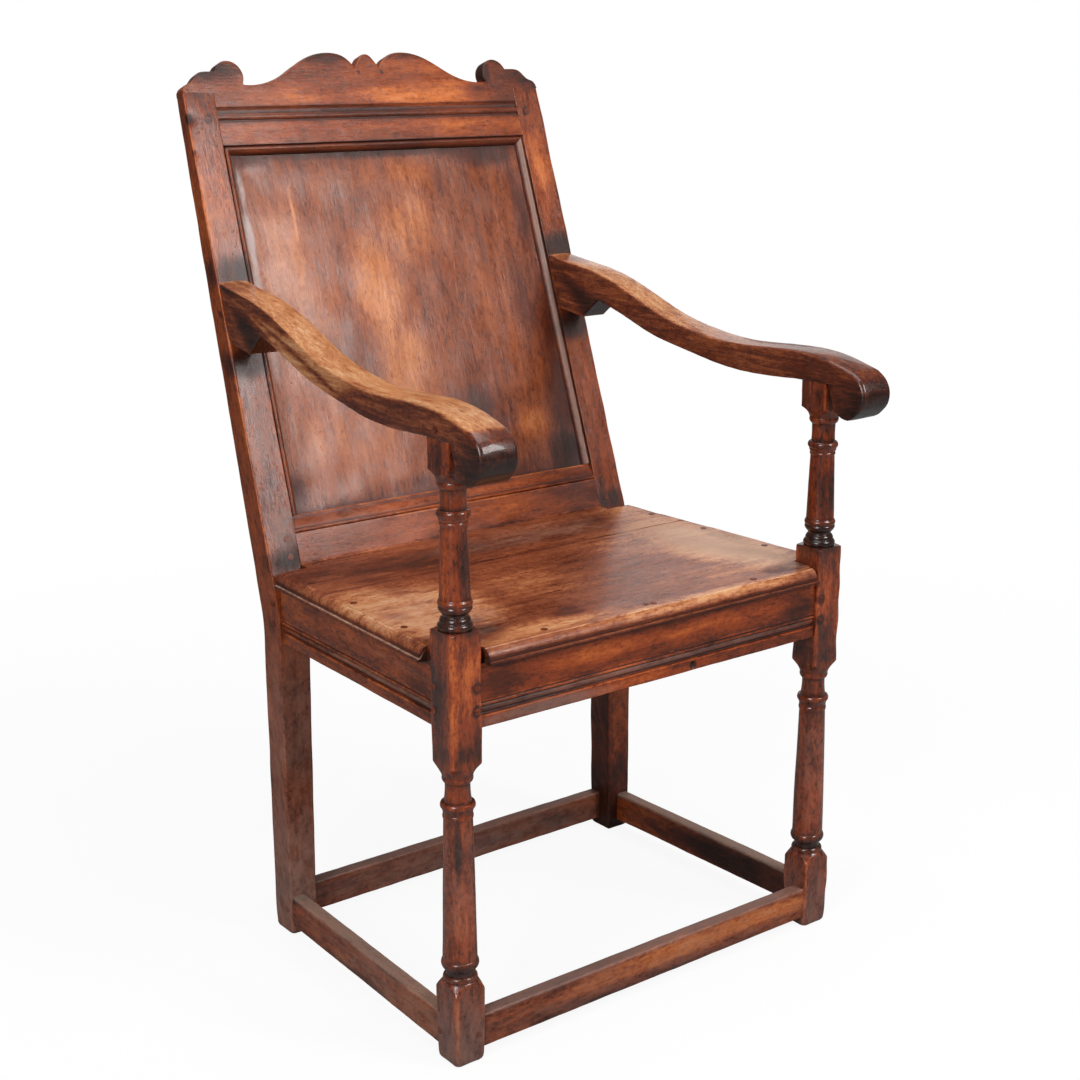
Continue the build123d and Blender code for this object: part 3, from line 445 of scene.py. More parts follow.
finishTable = {           # name, slot, grain, the values of grainKeys, and what else is its own
    "post": ("turnedOak", "turned_oak", "z", (0.475, 0.1, 0.08, 0.07, 0.16, 0.14, 0.1), {
        "colours": emberScale, "gild": 0.22, "wear": 0.14, "fleck": 0.13, "tear": 1.1,
        "coat": 0.5, "coatRough": 0.07, "rough": 0.2, "dull": 0.0}),
    "stile": ("stileOak", "frame_oak", "back", (0.495, 0.1, 0.08, 0.06, 0.15, 0.12, 0.06), {
        "wear": 0.14, "dusty": 0.7, "dustColour": (0.28, 0.19, 0.155)}),
    "crest": ("crestOak", "frame_oak", "x", (0.525, 0.14, 0.08, 0.06, 0.12, 0.1, 0.06), {}),
    "rail": ("railOak", "frame_oak", "x", (0.475, 0.16, 0.09, 0.08, 0.15, 0.14, 0.1), {}),
    "frontRail": ("frontRailOak", "frame_oak", "x", (0.47, 0.14, 0.08, 0.07, 0.14, 0.12, 0.07), {
        "colours": emberScale}),
    "side": ("sideOak", "frame_oak", "y", (0.52, 0.1, 0.1, 0.08, 0.15, 0.14, 0.1), {
        "dusty": 0.7, "dustColour": (0.28, 0.195, 0.15)}),
    # the panel's pale mauve dust colour is the colour of its painted sheen
    "panel": ("panelOak", "panel_oak", "back", (0.51, 0.08, 0.08, 0.05, 0.09, 0.1, 0.04), {
        "colours": warmScale, "pace": (0.1, 3.0, 9.0), "warp": 6.0, "ring": 0.05, "bump": 0.18,
        "tear": 0.45, "dusty": 0.8, "dustColour": (0.5, 0.41, 0.39)}),
    # the seat's pale dust colour serves dust at the notch ends and also painted sheen and highlights
    "seat": ("seatOak", "seat_oak", "x", (0.5, 0.1, 0.11, 0.06, 0.12, 0.13, 0.1), {
        "colours": seatScale, "pace": (0.1, 6.0, 5.0), "warp": 8.0, "gild": 0.34, "tear": 1.2,
        "bump": 0.2, "dustColour": (0.72, 0.50, 0.37)}),
    "arm": ("armOak", "arm_oak", "y", (0.43, 0.1, 0.24, 0.14, 0.12, 0.13, 0.1), {
        "colours": tanScale, "pace": (0.1, 8.0, 60.0), "warp": 4.0, "ring": 0.03, "gild": 0.36,
        "tear": 0.3, "coat": 0.35, "coatRough": 0.07, "rough": 0.26, "dull": 0.0}),
    "peg": ("pegOak", "", "x", (0.4, 0.1, 0.12, 0.14, 0.12, 0.13, 0.1), {"rough": 0.34}),
    "footPeg": ("footPegOak", "", "x", (0.56, 0.1, 0.12, 0.14, 0.12, 0.13, 0.1), {
        "colours": dustyScale, "rough": 0.34}),
}
finishes = {
    key: (oakFinish(name, grain, {**oakTones, **dict(zip(grainKeys, tones)), **own}), slot)
    for key, (name, slot, grain, tones, own) in finishTable.items()}
print("finishes made:", len(finishes))


# rear posts: square below the seat, raked above it as the stiles of the back
rearPost = {
    "depth": 38, "bend": 400, "bendReach": 26, "topDepth": 18, "footWidth": 35,
    "arris": (2.2, 1.3, 1.3, 2.0), "step": 5, "footRound": 7.0, "shoulder": 0.45,
    "mouldBack": 17.4, "mouldRows": 84,
    "mould": [(0, 0), (0.6, 2.4), (1.4, 3.0), (2.0, 1.6), (3.0, 0.8), (4.6, 0.7), (6.4, 1.5), (8.2, 3.2),
              (9.8, 5.6), (11, 8.3)],
}
chips = [(-256, 284, 963, 5, 7, 6, 1.4), (-258, 270, 925, 3, 6, 5, 0.9)]
pegRings = both([(*onBack(x, z, 0), reach, reach, reach, strength) for x, z, reach, strength in (
    (232, 962, 5.2, 1.5), (238, 471, 6.5, 1.0), (238, 491, 6.5, 1.0))])
# the stain spot on the stile just under the arm's heel, about 690 high, is a painted shadow; the dust spots
# up the left stile's front face, from about 500 to 880 high, are painted sheen, and those low on the left
# leg are dust
rearPostMarks = {
    "stain": both([(241, 222, 790, 34, 40, 22, 0.95), (241, 193, 690, 30, 40, 20, 1.0),
        (242, 120, 468, 34, 60, 16, 0.8), (243, 278, 990, 24, 40, 7, 0.5),
        (250, 120, 395, 40, 60, 40, 0.45), (284, 250, 790, 17, 90, 260, 0.5)]) + [
        (-267, 120, 60, 60, 60, 30, 0.4), (250, 120, 40, 60, 60, 90, 0.9),
        (232, 120, 250, 10, 60, 300, 0.45)] + chips + pegRings,
    "pale": [(238, 262, 895, 22, 40, 70, 0.75), (238, 200, 620, 22, 60, 60, 0.3),
        (-242, 255, 880, 24, 60, 80, 0.6), (-257, 252, 870, 2.2, 60, 90, 0.8),
        (252, 118, 180, 5, 10, 120, 0.5)],
    "dust": [(-250, 115, 60, 90, 90, 180, 0.76), (-250, 115, 260, 90, 90, 160, 0.6),
        (-241, 235, 830, 20, 60, 50, 0.55), (-242, 170, 620, 20, 60, 70, 0.5),
        (-242, 130, 500, 24, 60, 40, 0.6)],
}


def softBend(t, start, reach, slope):
    # zero, then a parabola either side of the start, then a straight slope
    curve = slope * (t - start + reach) ** 2 / (4 * reach)
    return np.where(t < start - reach, 0, np.where(t > start + reach, slope * (t - start), curve))


def rearPostShell(side, seed):
    # a rounded rectangle between the front line and the rear line of the post
    topBack = stileTop - rearPost["topDepth"] * leanSin
    topY = (rearY + (stileTop - rakeStart) * leanTan
            + rearPost["topDepth"] * leanCos)
    slope = (topY - rearY - rearPost["depth"]) / (topBack - rearPost["bend"])
    soleRound = np.array([0, 0.5, 1.5, 3.2]) * rearPost["footRound"] / 3
    t = np.concatenate([soleRound, np.arange(6, stileTop, rearPost["step"]), [stileTop]])
    front = np.stack([rearY + softBend(t, rakeStart, rearPost["bendReach"], leanTan), t], -1)
    low = t <= rakeStart
    tBack = np.where(low, t * rearPost["bend"] / rakeStart,
                     rearPost["bend"] + (t - rakeStart) * (topBack - rearPost["bend"])
                     / (stileTop - rakeStart))
    back = np.stack([rearY + rearPost["depth"]
                     + softBend(tBack, rearPost["bend"], rearPost["bendReach"], slope), tBack], -1)
    above = np.maximum(t - seatTop, 0) / (stileTop - seatTop)
    outer = chair["halfRear"] + above * (chair["halfTop"] - chair["halfRear"])
    below = chair["halfRear"] - rearPost["footWidth"]
    inner = np.where(t < seatTop, below + t / seatTop * (chair["gapSeat"] - below), gapHalf(t))
    depth = np.linalg.norm(back - front, axis=1)
    width = outer - inner
    zero = np.zeros_like(width)
    corners = np.stack([np.stack(p, -1) for p in (
        (zero, zero), (width, zero), (width, depth), (zero, depth))], 1)
    uneven = (1 + 0.4 * ripple(np.stack([t, t * 0, t * 0], -1), 60, seed)).clip(0.5, 1.6)
    radii = np.array(rearPost["arris"]) * (uneven * (1 + 2 * np.exp(-t / 22)))[:, None]
    radii[:, 1] = np.where(t > seatTop + 20, rearPost["shoulder"], radii[:, 1])
    loop = roundedLoop(corners, radii, 4, 7)
    arris, _ = edgeMarks(loop[60], corners[60])
    arris[:5] *= 1.5      # the outer front corner
    inset = soleInset(t, rearPost["footRound"])
    middle = np.stack([width, depth], -1)[:, None] / 2
    loop = middle + (loop - middle) * (1 - 2 * inset / width)[:, None, None]
    aim = (back - front) / depth[:, None]
    x = side * (outer[:, None] - loop[..., 0])
    y = front[:, 0, None] + aim[:, 0, None] * loop[..., 1]
    z = front[:, 1, None] + aim[:, 1, None] * loop[..., 1]
    foot = np.exp(-t / 5)[:, None]
    worn = arris[None] * np.where(t < seatTop, 0.55, 1.0)[:, None]
    return {"points": np.stack([x, y, z], -1), "arris": np.maximum(worn, foot)}


def stileMouldShell(side):
    # the edge moulding's profile carried up beside the panel, with a mitred top
    hidden = [(x, rearPost["mouldBack"]) for x in (chair["mouldWidth"], 0)]
    profile = np.array(rearPost["mould"] + hidden, float)
    across, depth = profile[:, 0], profile[:, 1]
    top = mitreTop - across * (mitreTop - panelHigh) / chair["mouldWidth"]
    v = np.linspace(0, 1, rearPost["mouldRows"])[:, None]
    height = chair["panelLow"] + v * (top - chair["panelLow"])
    points = onBack(side * (gapHalf(height) - across), height, depth)
    crease = np.array([0.7, 1, 1, 0.5, 0, 0, 0, 0.1, 0.4, 1, 0.6, 0.6])
    arris = np.array([0.0, 0, 0, 0.3, 0.3, 0.2, 0, 0, 0, 0, 0, 0])
    # painted sheen: a pale band down the right-hand moulding's flank, carried by the dust mark
    paintedSheen = np.array([0.0, 0, 0, 0, 0.3, 1.1, 1.3, 0.8, 0.3, 0, 0, 0]) * (side > 0)
    return {"points": points, "crease": crease, "arris": arris, "dust": paintedSheen, "loose": 0.5}


for side, word in sides:
    buildPiece(f"rearPost_{word}", f"rear_post_{word}", "stile",
               [rearPostShell(side, 11 + side), stileMouldShell(side)], seed=21 + side, dents=chips,
               **rearPostMarks)
print("rear posts")


# front posts: square blocks with turnings between
frontPost = {
    "half": 19, "arris": 2.6, "pegs": (33, 396, 421), "pegBack": 31, "pegIn": 246.5,
    "armSeat": 677, "footRound": 6.5, "lathe": 30,
    "leg": [
        ((26.9, 84.6), (21.9, 90.2), (18.0, 95.2)), ((17.7, 95.5), (18.4, 98.0), (15.8, 101.8)),
        ((15.2, 102.2), (15.0, 104.5), (16.2, 108.6)), ((18.2, 109.4), (20.1, 114.6), (18.9, 118.6)),
        ((18.4, 119.0), (17.1, 198.0), (15.4, 277.0)), ((15.4, 277.5), (16.3, 280.5), (15.6, 283.5)),
        ((15.8, 284.0), (16.4, 288.0), (18.2, 291.0)), ((18.2, 291.0), (18.5, 293.5), (17.6, 296.2)),
        ((14.8, 297.0), (13.6, 306.0), (13.4, 318.0)), ((14.6, 318.6), (16.4, 321.6), (16.2, 325.0)),
        ((16.4, 326.0), (19.4, 332.5), (26.9, 340)),
    ],
    "support": [
        ((26.9, 480.4), (22.0, 481.6), (17.4, 482.2)), ((17.6, 482.4), (18.5, 485.6), (16.3, 489.5)),
        ((16.1, 490.0), (15.7, 493.2), (13.9, 495.6)), ((13.6, 496.0), (13.5, 497.2), (14.0, 498.6)),
        ((14.2, 499.0), (15.6, 500.4), (16.8, 502.2)), ((16.9, 502.6), (17.6, 504.6), (16.9, 506.6)),
        ((16.9, 507.0), (17.9, 510.0), (16.5, 513.2)), ((16.2, 513.8), (14.9, 552.0), (13.9, 589.0)),
        ((14.0, 589.6), (14.8, 591.6), (14.2, 593.4)), ((14.4, 593.8), (15.4, 595.8), (15.6, 597.6)),
        ((15.9, 598.0), (17.4, 601.4), (15.9, 605.2)), ((13.6, 606.0), (13.3, 616.0), (13.5, 626.0)),
        ((14.2, 626.8), (16.7, 630.6), (16.4, 634.0)), ((16.8, 635.0), (19.6, 640.4), (26.9, 645.4)),
    ],
}
pegRings = both([(*place, 6.4, 6.4, 6.4, 1.4) for z in frontPost["pegs"][1:] for place in (
    (frontPost["pegIn"], frontY, z), (chair["halfFront"], frontY + frontPost["pegBack"], z))])
# the stain spot on the block's outer face, about 410 high, is painted shade on that one face
frontPostMarks = {
    "stain": both([(259, -246, 655, 40, 40, 26, 0.7), (259, -246, 493, 40, 40, 19, 1.0),
        (259, -230, 452, 40, 26, 30, 0.5), (259, -246, 352, 40, 40, 14, 0.6),
        (259, -246, 109, 40, 40, 12, 0.8), (259, -240, 602, 30, 30, 8, 0.7),
        (259, -240, 290, 30, 30, 6, 0.5), (279, -236, 410, 8, 24, 60, 0.65),
        (248, -266, 368, 18, 8, 30, 0.4), (256, -262, 555, 14, 12, 46, 0.68)]) + [
        (-268.2, -259.2, 242, 4.5, 4.5, 44, 0.8)] + pegRings,
    "pale": both([(274, -266, 415, 9, 9, 75, 0.7), (254, -266, 425, 16, 6, 40, 0.75),
        (276, -263, 60, 9, 9, 34, 0.5), (262, -262, 175, 20, 10, 60, 0.5),
        (275, -254, 560, 7, 14, 60, 0.45)]),
    "dust": both([(259, -246, 200, 60, 60, 110, 0.6)]) + [(-259, -246, 0, 60, 60, 110, 0.95),
        (259, -246, 0, 60, 60, 110, 0.8)],
}


def turnedOutline():
    # radius and height down the post: blocks as a wide radius, turnings as their arcs
    def block(low, high):
        z = spread(low, high, 4, (0.4, 1.2, 2.4))
        near = [height + off for height in frontPost["pegs"] for off in (-6, -4, -2, 0, 2, 4, 6)]
        z = np.unique(np.concatenate([z, [v for v in near if low < v < high]]))
        return np.stack([np.full_like(z, frontPost["lathe"]), z], -1)

    rows = [block(0, frontPost["leg"][0][0][1] - 0.05)]
    for arcs, high in ((frontPost["leg"], frontPost["support"][0][0][1] - 0.05),
                       (frontPost["support"], frontPost["armSeat"])):
        for arc in arcs:
            count = 26 if arc[2][1] - arc[0][1] > 40 else 9
            rows.append(arcThrough(*arc, count))
        rows.append(block(arcs[-1][2][1] + 0.05, high))
    return np.concatenate(rows)


def frontPostShell(side, seed):
    # in each turn direction the smaller of two distances from the axis: the rounded square's
    # and the turning's, joined softly
    outline = turnedOutline()
    radius, z = outline[:, 0], outline[:, 1]
    octant = np.array([0, 10, 20, 28, 34, 38, 40.5, 42, 43, 44])
    theta = np.radians(np.concatenate([k * 90 + np.concatenate([octant, [45], 90 - octant[:0:-1]])
                                       for k in range(4)]))
    folded = np.abs((theta + math.pi / 4) % (math.pi / 2) - math.pi / 4)
    away = np.stack([z, z * 0 + side * 50, z * 0], -1)
    rho = frontPost["arris"] * (1 + 0.5 * ripple(away, 45, seed)).clip(0.5, 2)
    rho = (rho + 3.8 * np.exp(-z / 26))[:, None]
    reach = (frontPost["half"] - rho) * math.sqrt(2)
    turn = math.pi / 4 - folded
    inside = np.sqrt(np.maximum(rho ** 2 - (reach * np.sin(turn)) ** 2, 0))
    cornerR = reach * np.cos(turn) + inside
    flatR = frontPost["half"] / np.cos(folded)
    square = np.where(frontPost["half"] * np.tan(folded) > frontPost["half"] - rho, cornerR, flatR)
    lathe = radius[:, None]
    r = np.minimum(square, lathe) - 0.35 * np.exp(-np.abs(square - lathe) / 0.6)
    spacing = np.gradient(z)
    smoothR = np.array([np.average(np.minimum(radius, 22), weights=spacing * np.exp(-((z - h) / 4.5) ** 2))
                        for h in z])
    hollow = np.clip((smoothR - radius) / 1.6, 0, 1)[:, None]
    proud = np.clip((radius - smoothR) / 1.4, 0, 1)[:, None]
    blockish = square < lathe + 1.5
    cornerMark = np.exp(-((math.pi / 4 - folded) * frontPost["half"] * 1.2 / 4.2) ** 1.5)[None]
    lip = np.exp(-np.abs(square - lathe) / 0.9)
    arris = np.where(blockish, np.maximum(cornerMark, 0.8 * lip), proud * 0.7)
    arris = np.maximum(arris, np.exp(-z / 5)[:, None])
    crease = np.where(blockish, 0, hollow)
    r = r - soleInset(z, frontPost["footRound"])[:, None]
    axisX, axisY = side * (chair["halfFront"] - frontPost["half"]), frontY + frontPost["half"]
    points = np.stack([axisX + r * np.sin(theta), axisY + r * np.cos(theta),
                       np.broadcast_to(z[:, None], r.shape)], -1)
    return {"points": points, "arris": arris, "crease": crease * 0.85, "loose": 0.7}


for side, word in sides:
    buildPiece(f"frontPost_{word}", f"front_post_{word}", "post", [frontPostShell(side, 31 + side)],
               seed=41 + side, **frontPostMarks)
print("front posts")


# seat rails and stretchers
rails = {
    "set": 4, "rearSet": 12, "thick": 22, "low": 375, "step": 6, "into": 0.4,
    "knot": (50.6, -261, 380.7),
    "moulded": [(0, 444), (0, 403.2), (0.9, 402.6), (1.2, 402), (0.9, 401.4), (0, 400.8), (0, 399),
                (1.7, 398.5), (2.4, 397.8), (1.2, 396.8), (0.7, 395), (0.9, 393), (1.6, 391.7),
                (3.0, 391.1), (3.2, 390.2), (1.8, 388.9), (0, 388.2), (0, 375), (22, 375), (22, 444)],
    "mouldedRadii": [0.8, 0.5, 0.2, 0.4, 0.2, 0.5, 0.4, 0.3, 0.3, 0.5, 0.8, 0.8, 0.4, 0.3, 0.4, 0.6,
                     0.4, 1.8, 1.5, 0.5],
    "stretcherLow": 14, "stretcherHigh": 52, "stretcherThick": 17, "stretcherSet": 3,
    "stretcherRear": 20, "stretcherRadii": (3.4, 1.6, 1.4, 2.6),
    "rearHalf": 228, "rearStretcherHalf": 232.3,
}


def railShell(corners, radii, along, place, flats=3):
    # a section of (depth from the face, height) carried along a straight timber
    loop = roundedLoop(corners, radii, 3, flats)
    arris, crease = edgeMarks(loop, corners)
    points = place(loop[None, :, 0], loop[None, :, 1], along[:, None])
    points = np.broadcast_to(points, (len(along), len(loop), 3)).copy()
    return {"points": points, "arris": arris, "crease": crease}


def acrossAt(faceY):
    return lambda depth, z, x: np.stack(np.broadcast_arrays(x, faceY + depth, z), -1)


def besideAt(side, setBack):
    return lambda depth, z, y: np.stack(np.broadcast_arrays(
        side * (sideLine(y, setBack) - depth), y, z), -1)


def plainSection(thick, low, high):
    return [(0, high), (0, low), (thick, low), (thick, high)]


def buildRail(name, node, finish, section, radii, along, place, flats=3, **looks):
    buildPiece(name, node, finish, [railShell(section, radii, along, place, flats)], **looks)


def buildStretcher(word, finish, along, place, **looks):
    section = plainSection(rails["stretcherThick"], rails["stretcherLow"], rails["stretcherHigh"])
    buildRail(f"stretcher_{word}", f"stretcher_{word}", finish, section, rails["stretcherRadii"], along,
              place, 5, swell=(0.16, 0.08), **looks)


def acrossRun(half):
    return spread(-half, half, rails["step"])


frontHalf = chair["halfFront"] - chair["post"] + rails["into"]
knot = rails["knot"]
along = np.unique(np.concatenate([acrossRun(frontHalf), knot[0] + np.linspace(-5, 5, 9)]))
# the dark line along the rail's top, under the seat's nose, is a painted shadow
frontRailMarks = {
    "stain": [(0, -258, 443, 300, 12, 5, 1.0), (-200, -262, 394, 90, 12, 8, 0.6),
        (0, -258, 394, 300, 12, 5, 0.3), (-215, -262, 425, 34, 12, 30, 0.6),
        (215, -262, 415, 30, 12, 26, 0.6), (-20, -262, 412, 60, 12, 12, 0.35)] + [(*knot, 4.6, 8, 4.2, 2.0)],
    "pale": [(-80, -262, 426, 70, 10, 13, 0.95), (50, -262, 424, 120, 10, 13, 0.75),
        (-60, -262, 381, 120, 10, 6, 0.7), (180, -262, 430, 60, 10, 10, 0.6)],
    "dust": [(0, -262, 395, 300, 12, 5, 0.8), (-160, -262, 381, 110, 12, 8, 1.1)],
}
buildRail("seatRail_front", "seat_rail_front", "frontRail", rails["moulded"], rails["mouldedRadii"],
          along, acrossAt(frontY + rails["set"]), seed=51, dents=[(*knot, 3.2, 8, 3.0, 5.0)],
          **frontRailMarks)
buildRail("seatRail_rear", "seat_rail_rear", "rail",
          plainSection(rails["thick"], rails["low"], chair["boardUnder"]), 1.4,
          acrossRun(rails["rearHalf"]), acrossAt(rearY + rails["rearSet"]), 6, seed=53)
along = spread(frontY + chair["post"] - rails["into"], rearY + rails["into"], rails["step"])
# the dark line along the rail's top, under the seat's side edge, is a painted shadow
sideRailMarks = {
    "stain": both([(272, -100, 443, 12, 300, 5, 0.9), (272, -200, 405, 12, 40, 40, 0.5)]),
    "pale": both([(272, -60, 425, 10, 120, 14, 0.4)]),
    "dust": both([(272, -80, 395, 10, 300, 5, 0.7), (274, -80, 425, 10, 300, 14, 0.45)]),
}
sideStretcherStain = both([
    (273, -112, 52, 3, 42, 5, 1.3), (256, 98, 50, 12, 14, 8, 1.2), (272, -225, 30, 12, 20, 40, 0.5),
    (272, -20, 18, 12, 160, 7, 0.5)]) + [(256, -80, 30, 7, 300, 24, 1.0)]
dustOnTop = [(0, 0, 54, 900, 900, 6, 1.3)]
dust = dustOnTop + [(-274, -100, 30, 12, 400, 40, 0.65), (0, -263, 30, 400, 10, 40, 0.6)]
for side, word in sides:
    buildRail(f"seatRail_{word}", f"seat_rail_{word}", "side", rails["moulded"], rails["mouldedRadii"],
              along, besideAt(side, rails["set"]), seed=55 + side, **sideRailMarks)
    buildStretcher(word, "side", along, besideAt(side, rails["stretcherSet"]), seed=59 + side,
                   dust=dust, stain=sideStretcherStain)
buildStretcher("front", "rail", acrossRun(frontHalf), acrossAt(frontY + rails["stretcherSet"]), seed=63,
               dust=dust, stain=[(0, -262, 17, 260, 10, 5, 0.5)], pale=[(40, -262, 38, 230, 10, 12, 1.35)])
buildStretcher("rear", "rail", acrossRun(rails["rearStretcherHalf"]),
               acrossAt(rearY + rails["stretcherRear"]), seed=65,
               dust=dustOnTop + [(0, 118, 30, 400, 20, 40, 0.8)], stain=[(60, 118, 30, 260, 20, 30, 0.45)])
print("rails and stretchers")


# crest rail
crest = {
    "finial": [(0, 1035.5), (3, 1035.2), (7, 1033), (12, 1027), (17.5, 1020)],
    "hump": [(17.5, 1020), (30, 1032), (56, 1037.5), (92, 1028.5), (128, 1009), (164, 1000.5),
             (177, 1001)],
    "scroll": [(177, 1001), (191, 1028.5), (211, 1016.5)], "ear": [
        (223, 1016.5), (233, 1014.6), (241, 1007.6), (247, 1003.2), (253, 1001.0), (257.5, 995.5)],
    "edge": [(1.8, 0), (0.9, 0.25), (0.3, 0.8), (0, 1.7)], "thick": 18,
    "reeds": [(958, 0), (958.2, 2.3), (959.5, 2.6), (961, 2.5), (962.4, 1.0), (965, 0.4), (967.6, 1.0),
              (969, 2.5), (970.5, 2.5), (972.5, 2.2), (974.6, 1.2), (976, 0)],
}


def crestOutline():
    # half outline from arcs and a cubic, then its mirror image, in face coordinates
    def flatten(place):
        return place[0], place[1] / leanCos

    parts = [throughPoints([flatten(p) for p in crest["finial"]], 18),
             throughPoints([flatten(p) for p in crest["hump"]], 70)[1:],
             arcThrough(*[flatten(p) for p in crest["scroll"]], 22)[1:],
             np.array([flatten(crest["ear"][0])]),
             throughPoints([flatten(p) for p in crest["ear"]], 24)[1:]]
    half = np.concatenate(parts)
    return np.concatenate([half[::-1] * (-1, 1), half[1:]])


def crestShell():
    # rows up the front face, over the shaped top and down the back; each column is one point of
    # the outline, and each row stops at the timber's own end at that height
    outline = crestOutline()
    normal = squareTo(np.gradient(outline, axis=0))
    half = len(outline) // 2
    steady = outline[:, 0].copy()
    steady[half:] = np.maximum.accumulate(steady[half:])
    steady[:half + 1] = np.minimum.accumulate(steady[:half + 1][::-1])[::-1]
    rows, arris, crease = [], [], []

    def row(x, height, depth, worn=0.0, darkened=0.0):
        rows.append(onBack(x, height, depth))
        arris.append(worn)
        crease.append(darkened)

    def level(height, depth, limit, worn=0.0, darkened=0.0):
        row(np.clip(steady, -limit, limit), np.full_like(steady, height), depth, worn, darkened)

    def top(inset, depth, worn=0.0):
        spot = outline - normal * inset
        row(spot[:, 0], spot[:, 1] * leanCos, depth, worn)

    def mitre(height):
        part = (height - panelHigh) / (mitreTop - panelHigh)
        low = gapHalf(panelHigh) - chair["mouldWidth"]
        return low + part * (gapHalf(mitreTop) - low)

    level(panelHigh, crest["thick"], mitre(panelHigh))
    for across, depth in rearPost["mould"][::-1]:
        height = mitreTop - across * leanCos
        darkened = 0.9 if across < 1.8 or across > 9.5 else 0.4
        level(height, depth, mitre(height), 0.2 * (3 < across < 6), darkened)
    for height in (mitreTop + 1.5, 940, 948, 955):
        level(height, 0, gapHalf(height))
    for height, depth in crest["reeds"]:
        level(height, depth, gapHalf(height), 0.3 * (0.2 < depth < 0.6), 0.4 + 0.6 * (depth > 2.3))
    for height in (978, 984, 992):
        level(height, 0, gapHalf(height))
    earLow, tenonFront = stileTop, len(rows) - 1

    def between(part, depth):
        # part of the way from the ear's underside, or the same level, up to the top's inset row
        spot = outline - normal * crest["edge"][0][0]
        row(steady + part * (spot[:, 0] - steady),
            earLow + part * (spot[:, 1] * leanCos - earLow), depth)

    level(earLow, 0, chair["halfTop"])
    for part in (0.2, 0.4, 0.6, 0.7, 0.8, 0.9):
        between(part, 0)
    for inset, depth in crest["edge"]:
        top(inset, depth, 0.3)
    for depth in (5, 9, 13):
        top(0, depth)
    for inset, depth in crest["edge"][::-1]:
        top(inset, crest["thick"] - depth, 0.55)
    between(0.5, crest["thick"])
    level(earLow, crest["thick"], chair["halfTop"])
    level(earLow, crest["thick"], gapHalf(earLow))
    tenonBack = len(rows) - 1
    for height in (975, 955, mitreTop):
        level(height, crest["thick"], gapHalf(height))
    count = np.arange(len(rows))
    folds = [count[tenonFront + 1:tenonBack],
             np.array([tenonFront, tenonFront + 1, tenonBack - 1, tenonBack]),
             np.concatenate([count[:tenonFront + 1], count[tenonBack:]])]
    return {"points": np.stack(rows, 1), "arris": np.array(arris), "crease": np.array(crease),
            "loose": 0.6, "folds": folds}


crestMarks = {
    "stain": [(-60, 300, 1036, 70, 30, 16, 0.7), (70, 300, 1036, 60, 30, 13, 0.75),
        (-130, 300, 1012, 30, 30, 8, 0.35), (-160, 292, 998, 60, 30, 9, 0.3),
        (-215, 296, 1018, 46, 30, 18, 0.72), (215, 296, 1014, 46, 30, 20, 0.6),
        (178, 296, 1013, 9, 30, 18, 1.1), (200, 306, 1030, 30, 30, 7, 0.9),
        (240, 292, 998, 26, 30, 10, 0.8), (254, 288, 994, 9, 30, 12, 1.0), (0, 298, 1030, 30, 30, 14, 0.4),
        (-14, 299, 1014, 2.4, 9, 3, 1.0), (20, 299, 1014, 2.4, 9, 3, 1.0),
        (198, 290, 990, 46, 30, 24, 0.62), (158, 292, 988, 28, 30, 15, 0.6),
        (0, 280, 967, 260, 30, 9, 0.35)],
    "pale": [(60, 288, 985, 130, 30, 13, 0.8), (130, 290, 990, 40, 30, 14, 0.6),
        (100, 280, 947, 140, 30, 9, 0.6), (-100, 288, 988, 90, 30, 12, 0.45)],
    "dust": [(-200, 280, 985, 90, 30, 50, 0.5), (-180, 280, 945, 60, 30, 14, 0.28)],
}
buildPiece("crestRail", "crest_rail", "crest", [crestShell()], seed=71, **crestMarks)

# lower back rail
lowerRail = {
    "section": [(460, 0), (495.5, 0), (495.6, 1.5), (496.6, -0.1), (498, -0.7), (499.4, -0.1),
                (500.5, 1.5), (503.5, 2.2), (507, 3.4), (511, 4.8), (516, 6), (516, 18), (465.7, 18)],
    "radii": [0.3, 0.4, 0.2, 0.4, 0.6, 0.4, 0.2, 1, 1, 1, 0.8, 0.8, 0.5],
}
loop = roundedLoop(lowerRail["section"], lowerRail["radii"], 3, 4)
arris, crease = edgeMarks(loop, lowerRail["section"])
height, depth = loop[None, :, 0], loop[None, :, 1]
v = np.linspace(-1, 1, 90)[:, None]
buildPiece("lowerBackRail", "lower_back_rail", "crest", [{
    "points": onBack(v * (gapHalf(height) + 0.3), height, depth), "arris": arris, "crease": crease}],
    seed=73, stain=[(200, 125, 490, 100, 30, 40, 0.6), (60, 118, 461, 220, 30, 3, 0.7),
                    (0, 125, 512, 300, 30, 5, 0.6)],
    pale=[(60, 118, 480, 150, 20, 12, 0.5)], dust=[(-150, 120, 485, 110, 30, 40, 0.65)])

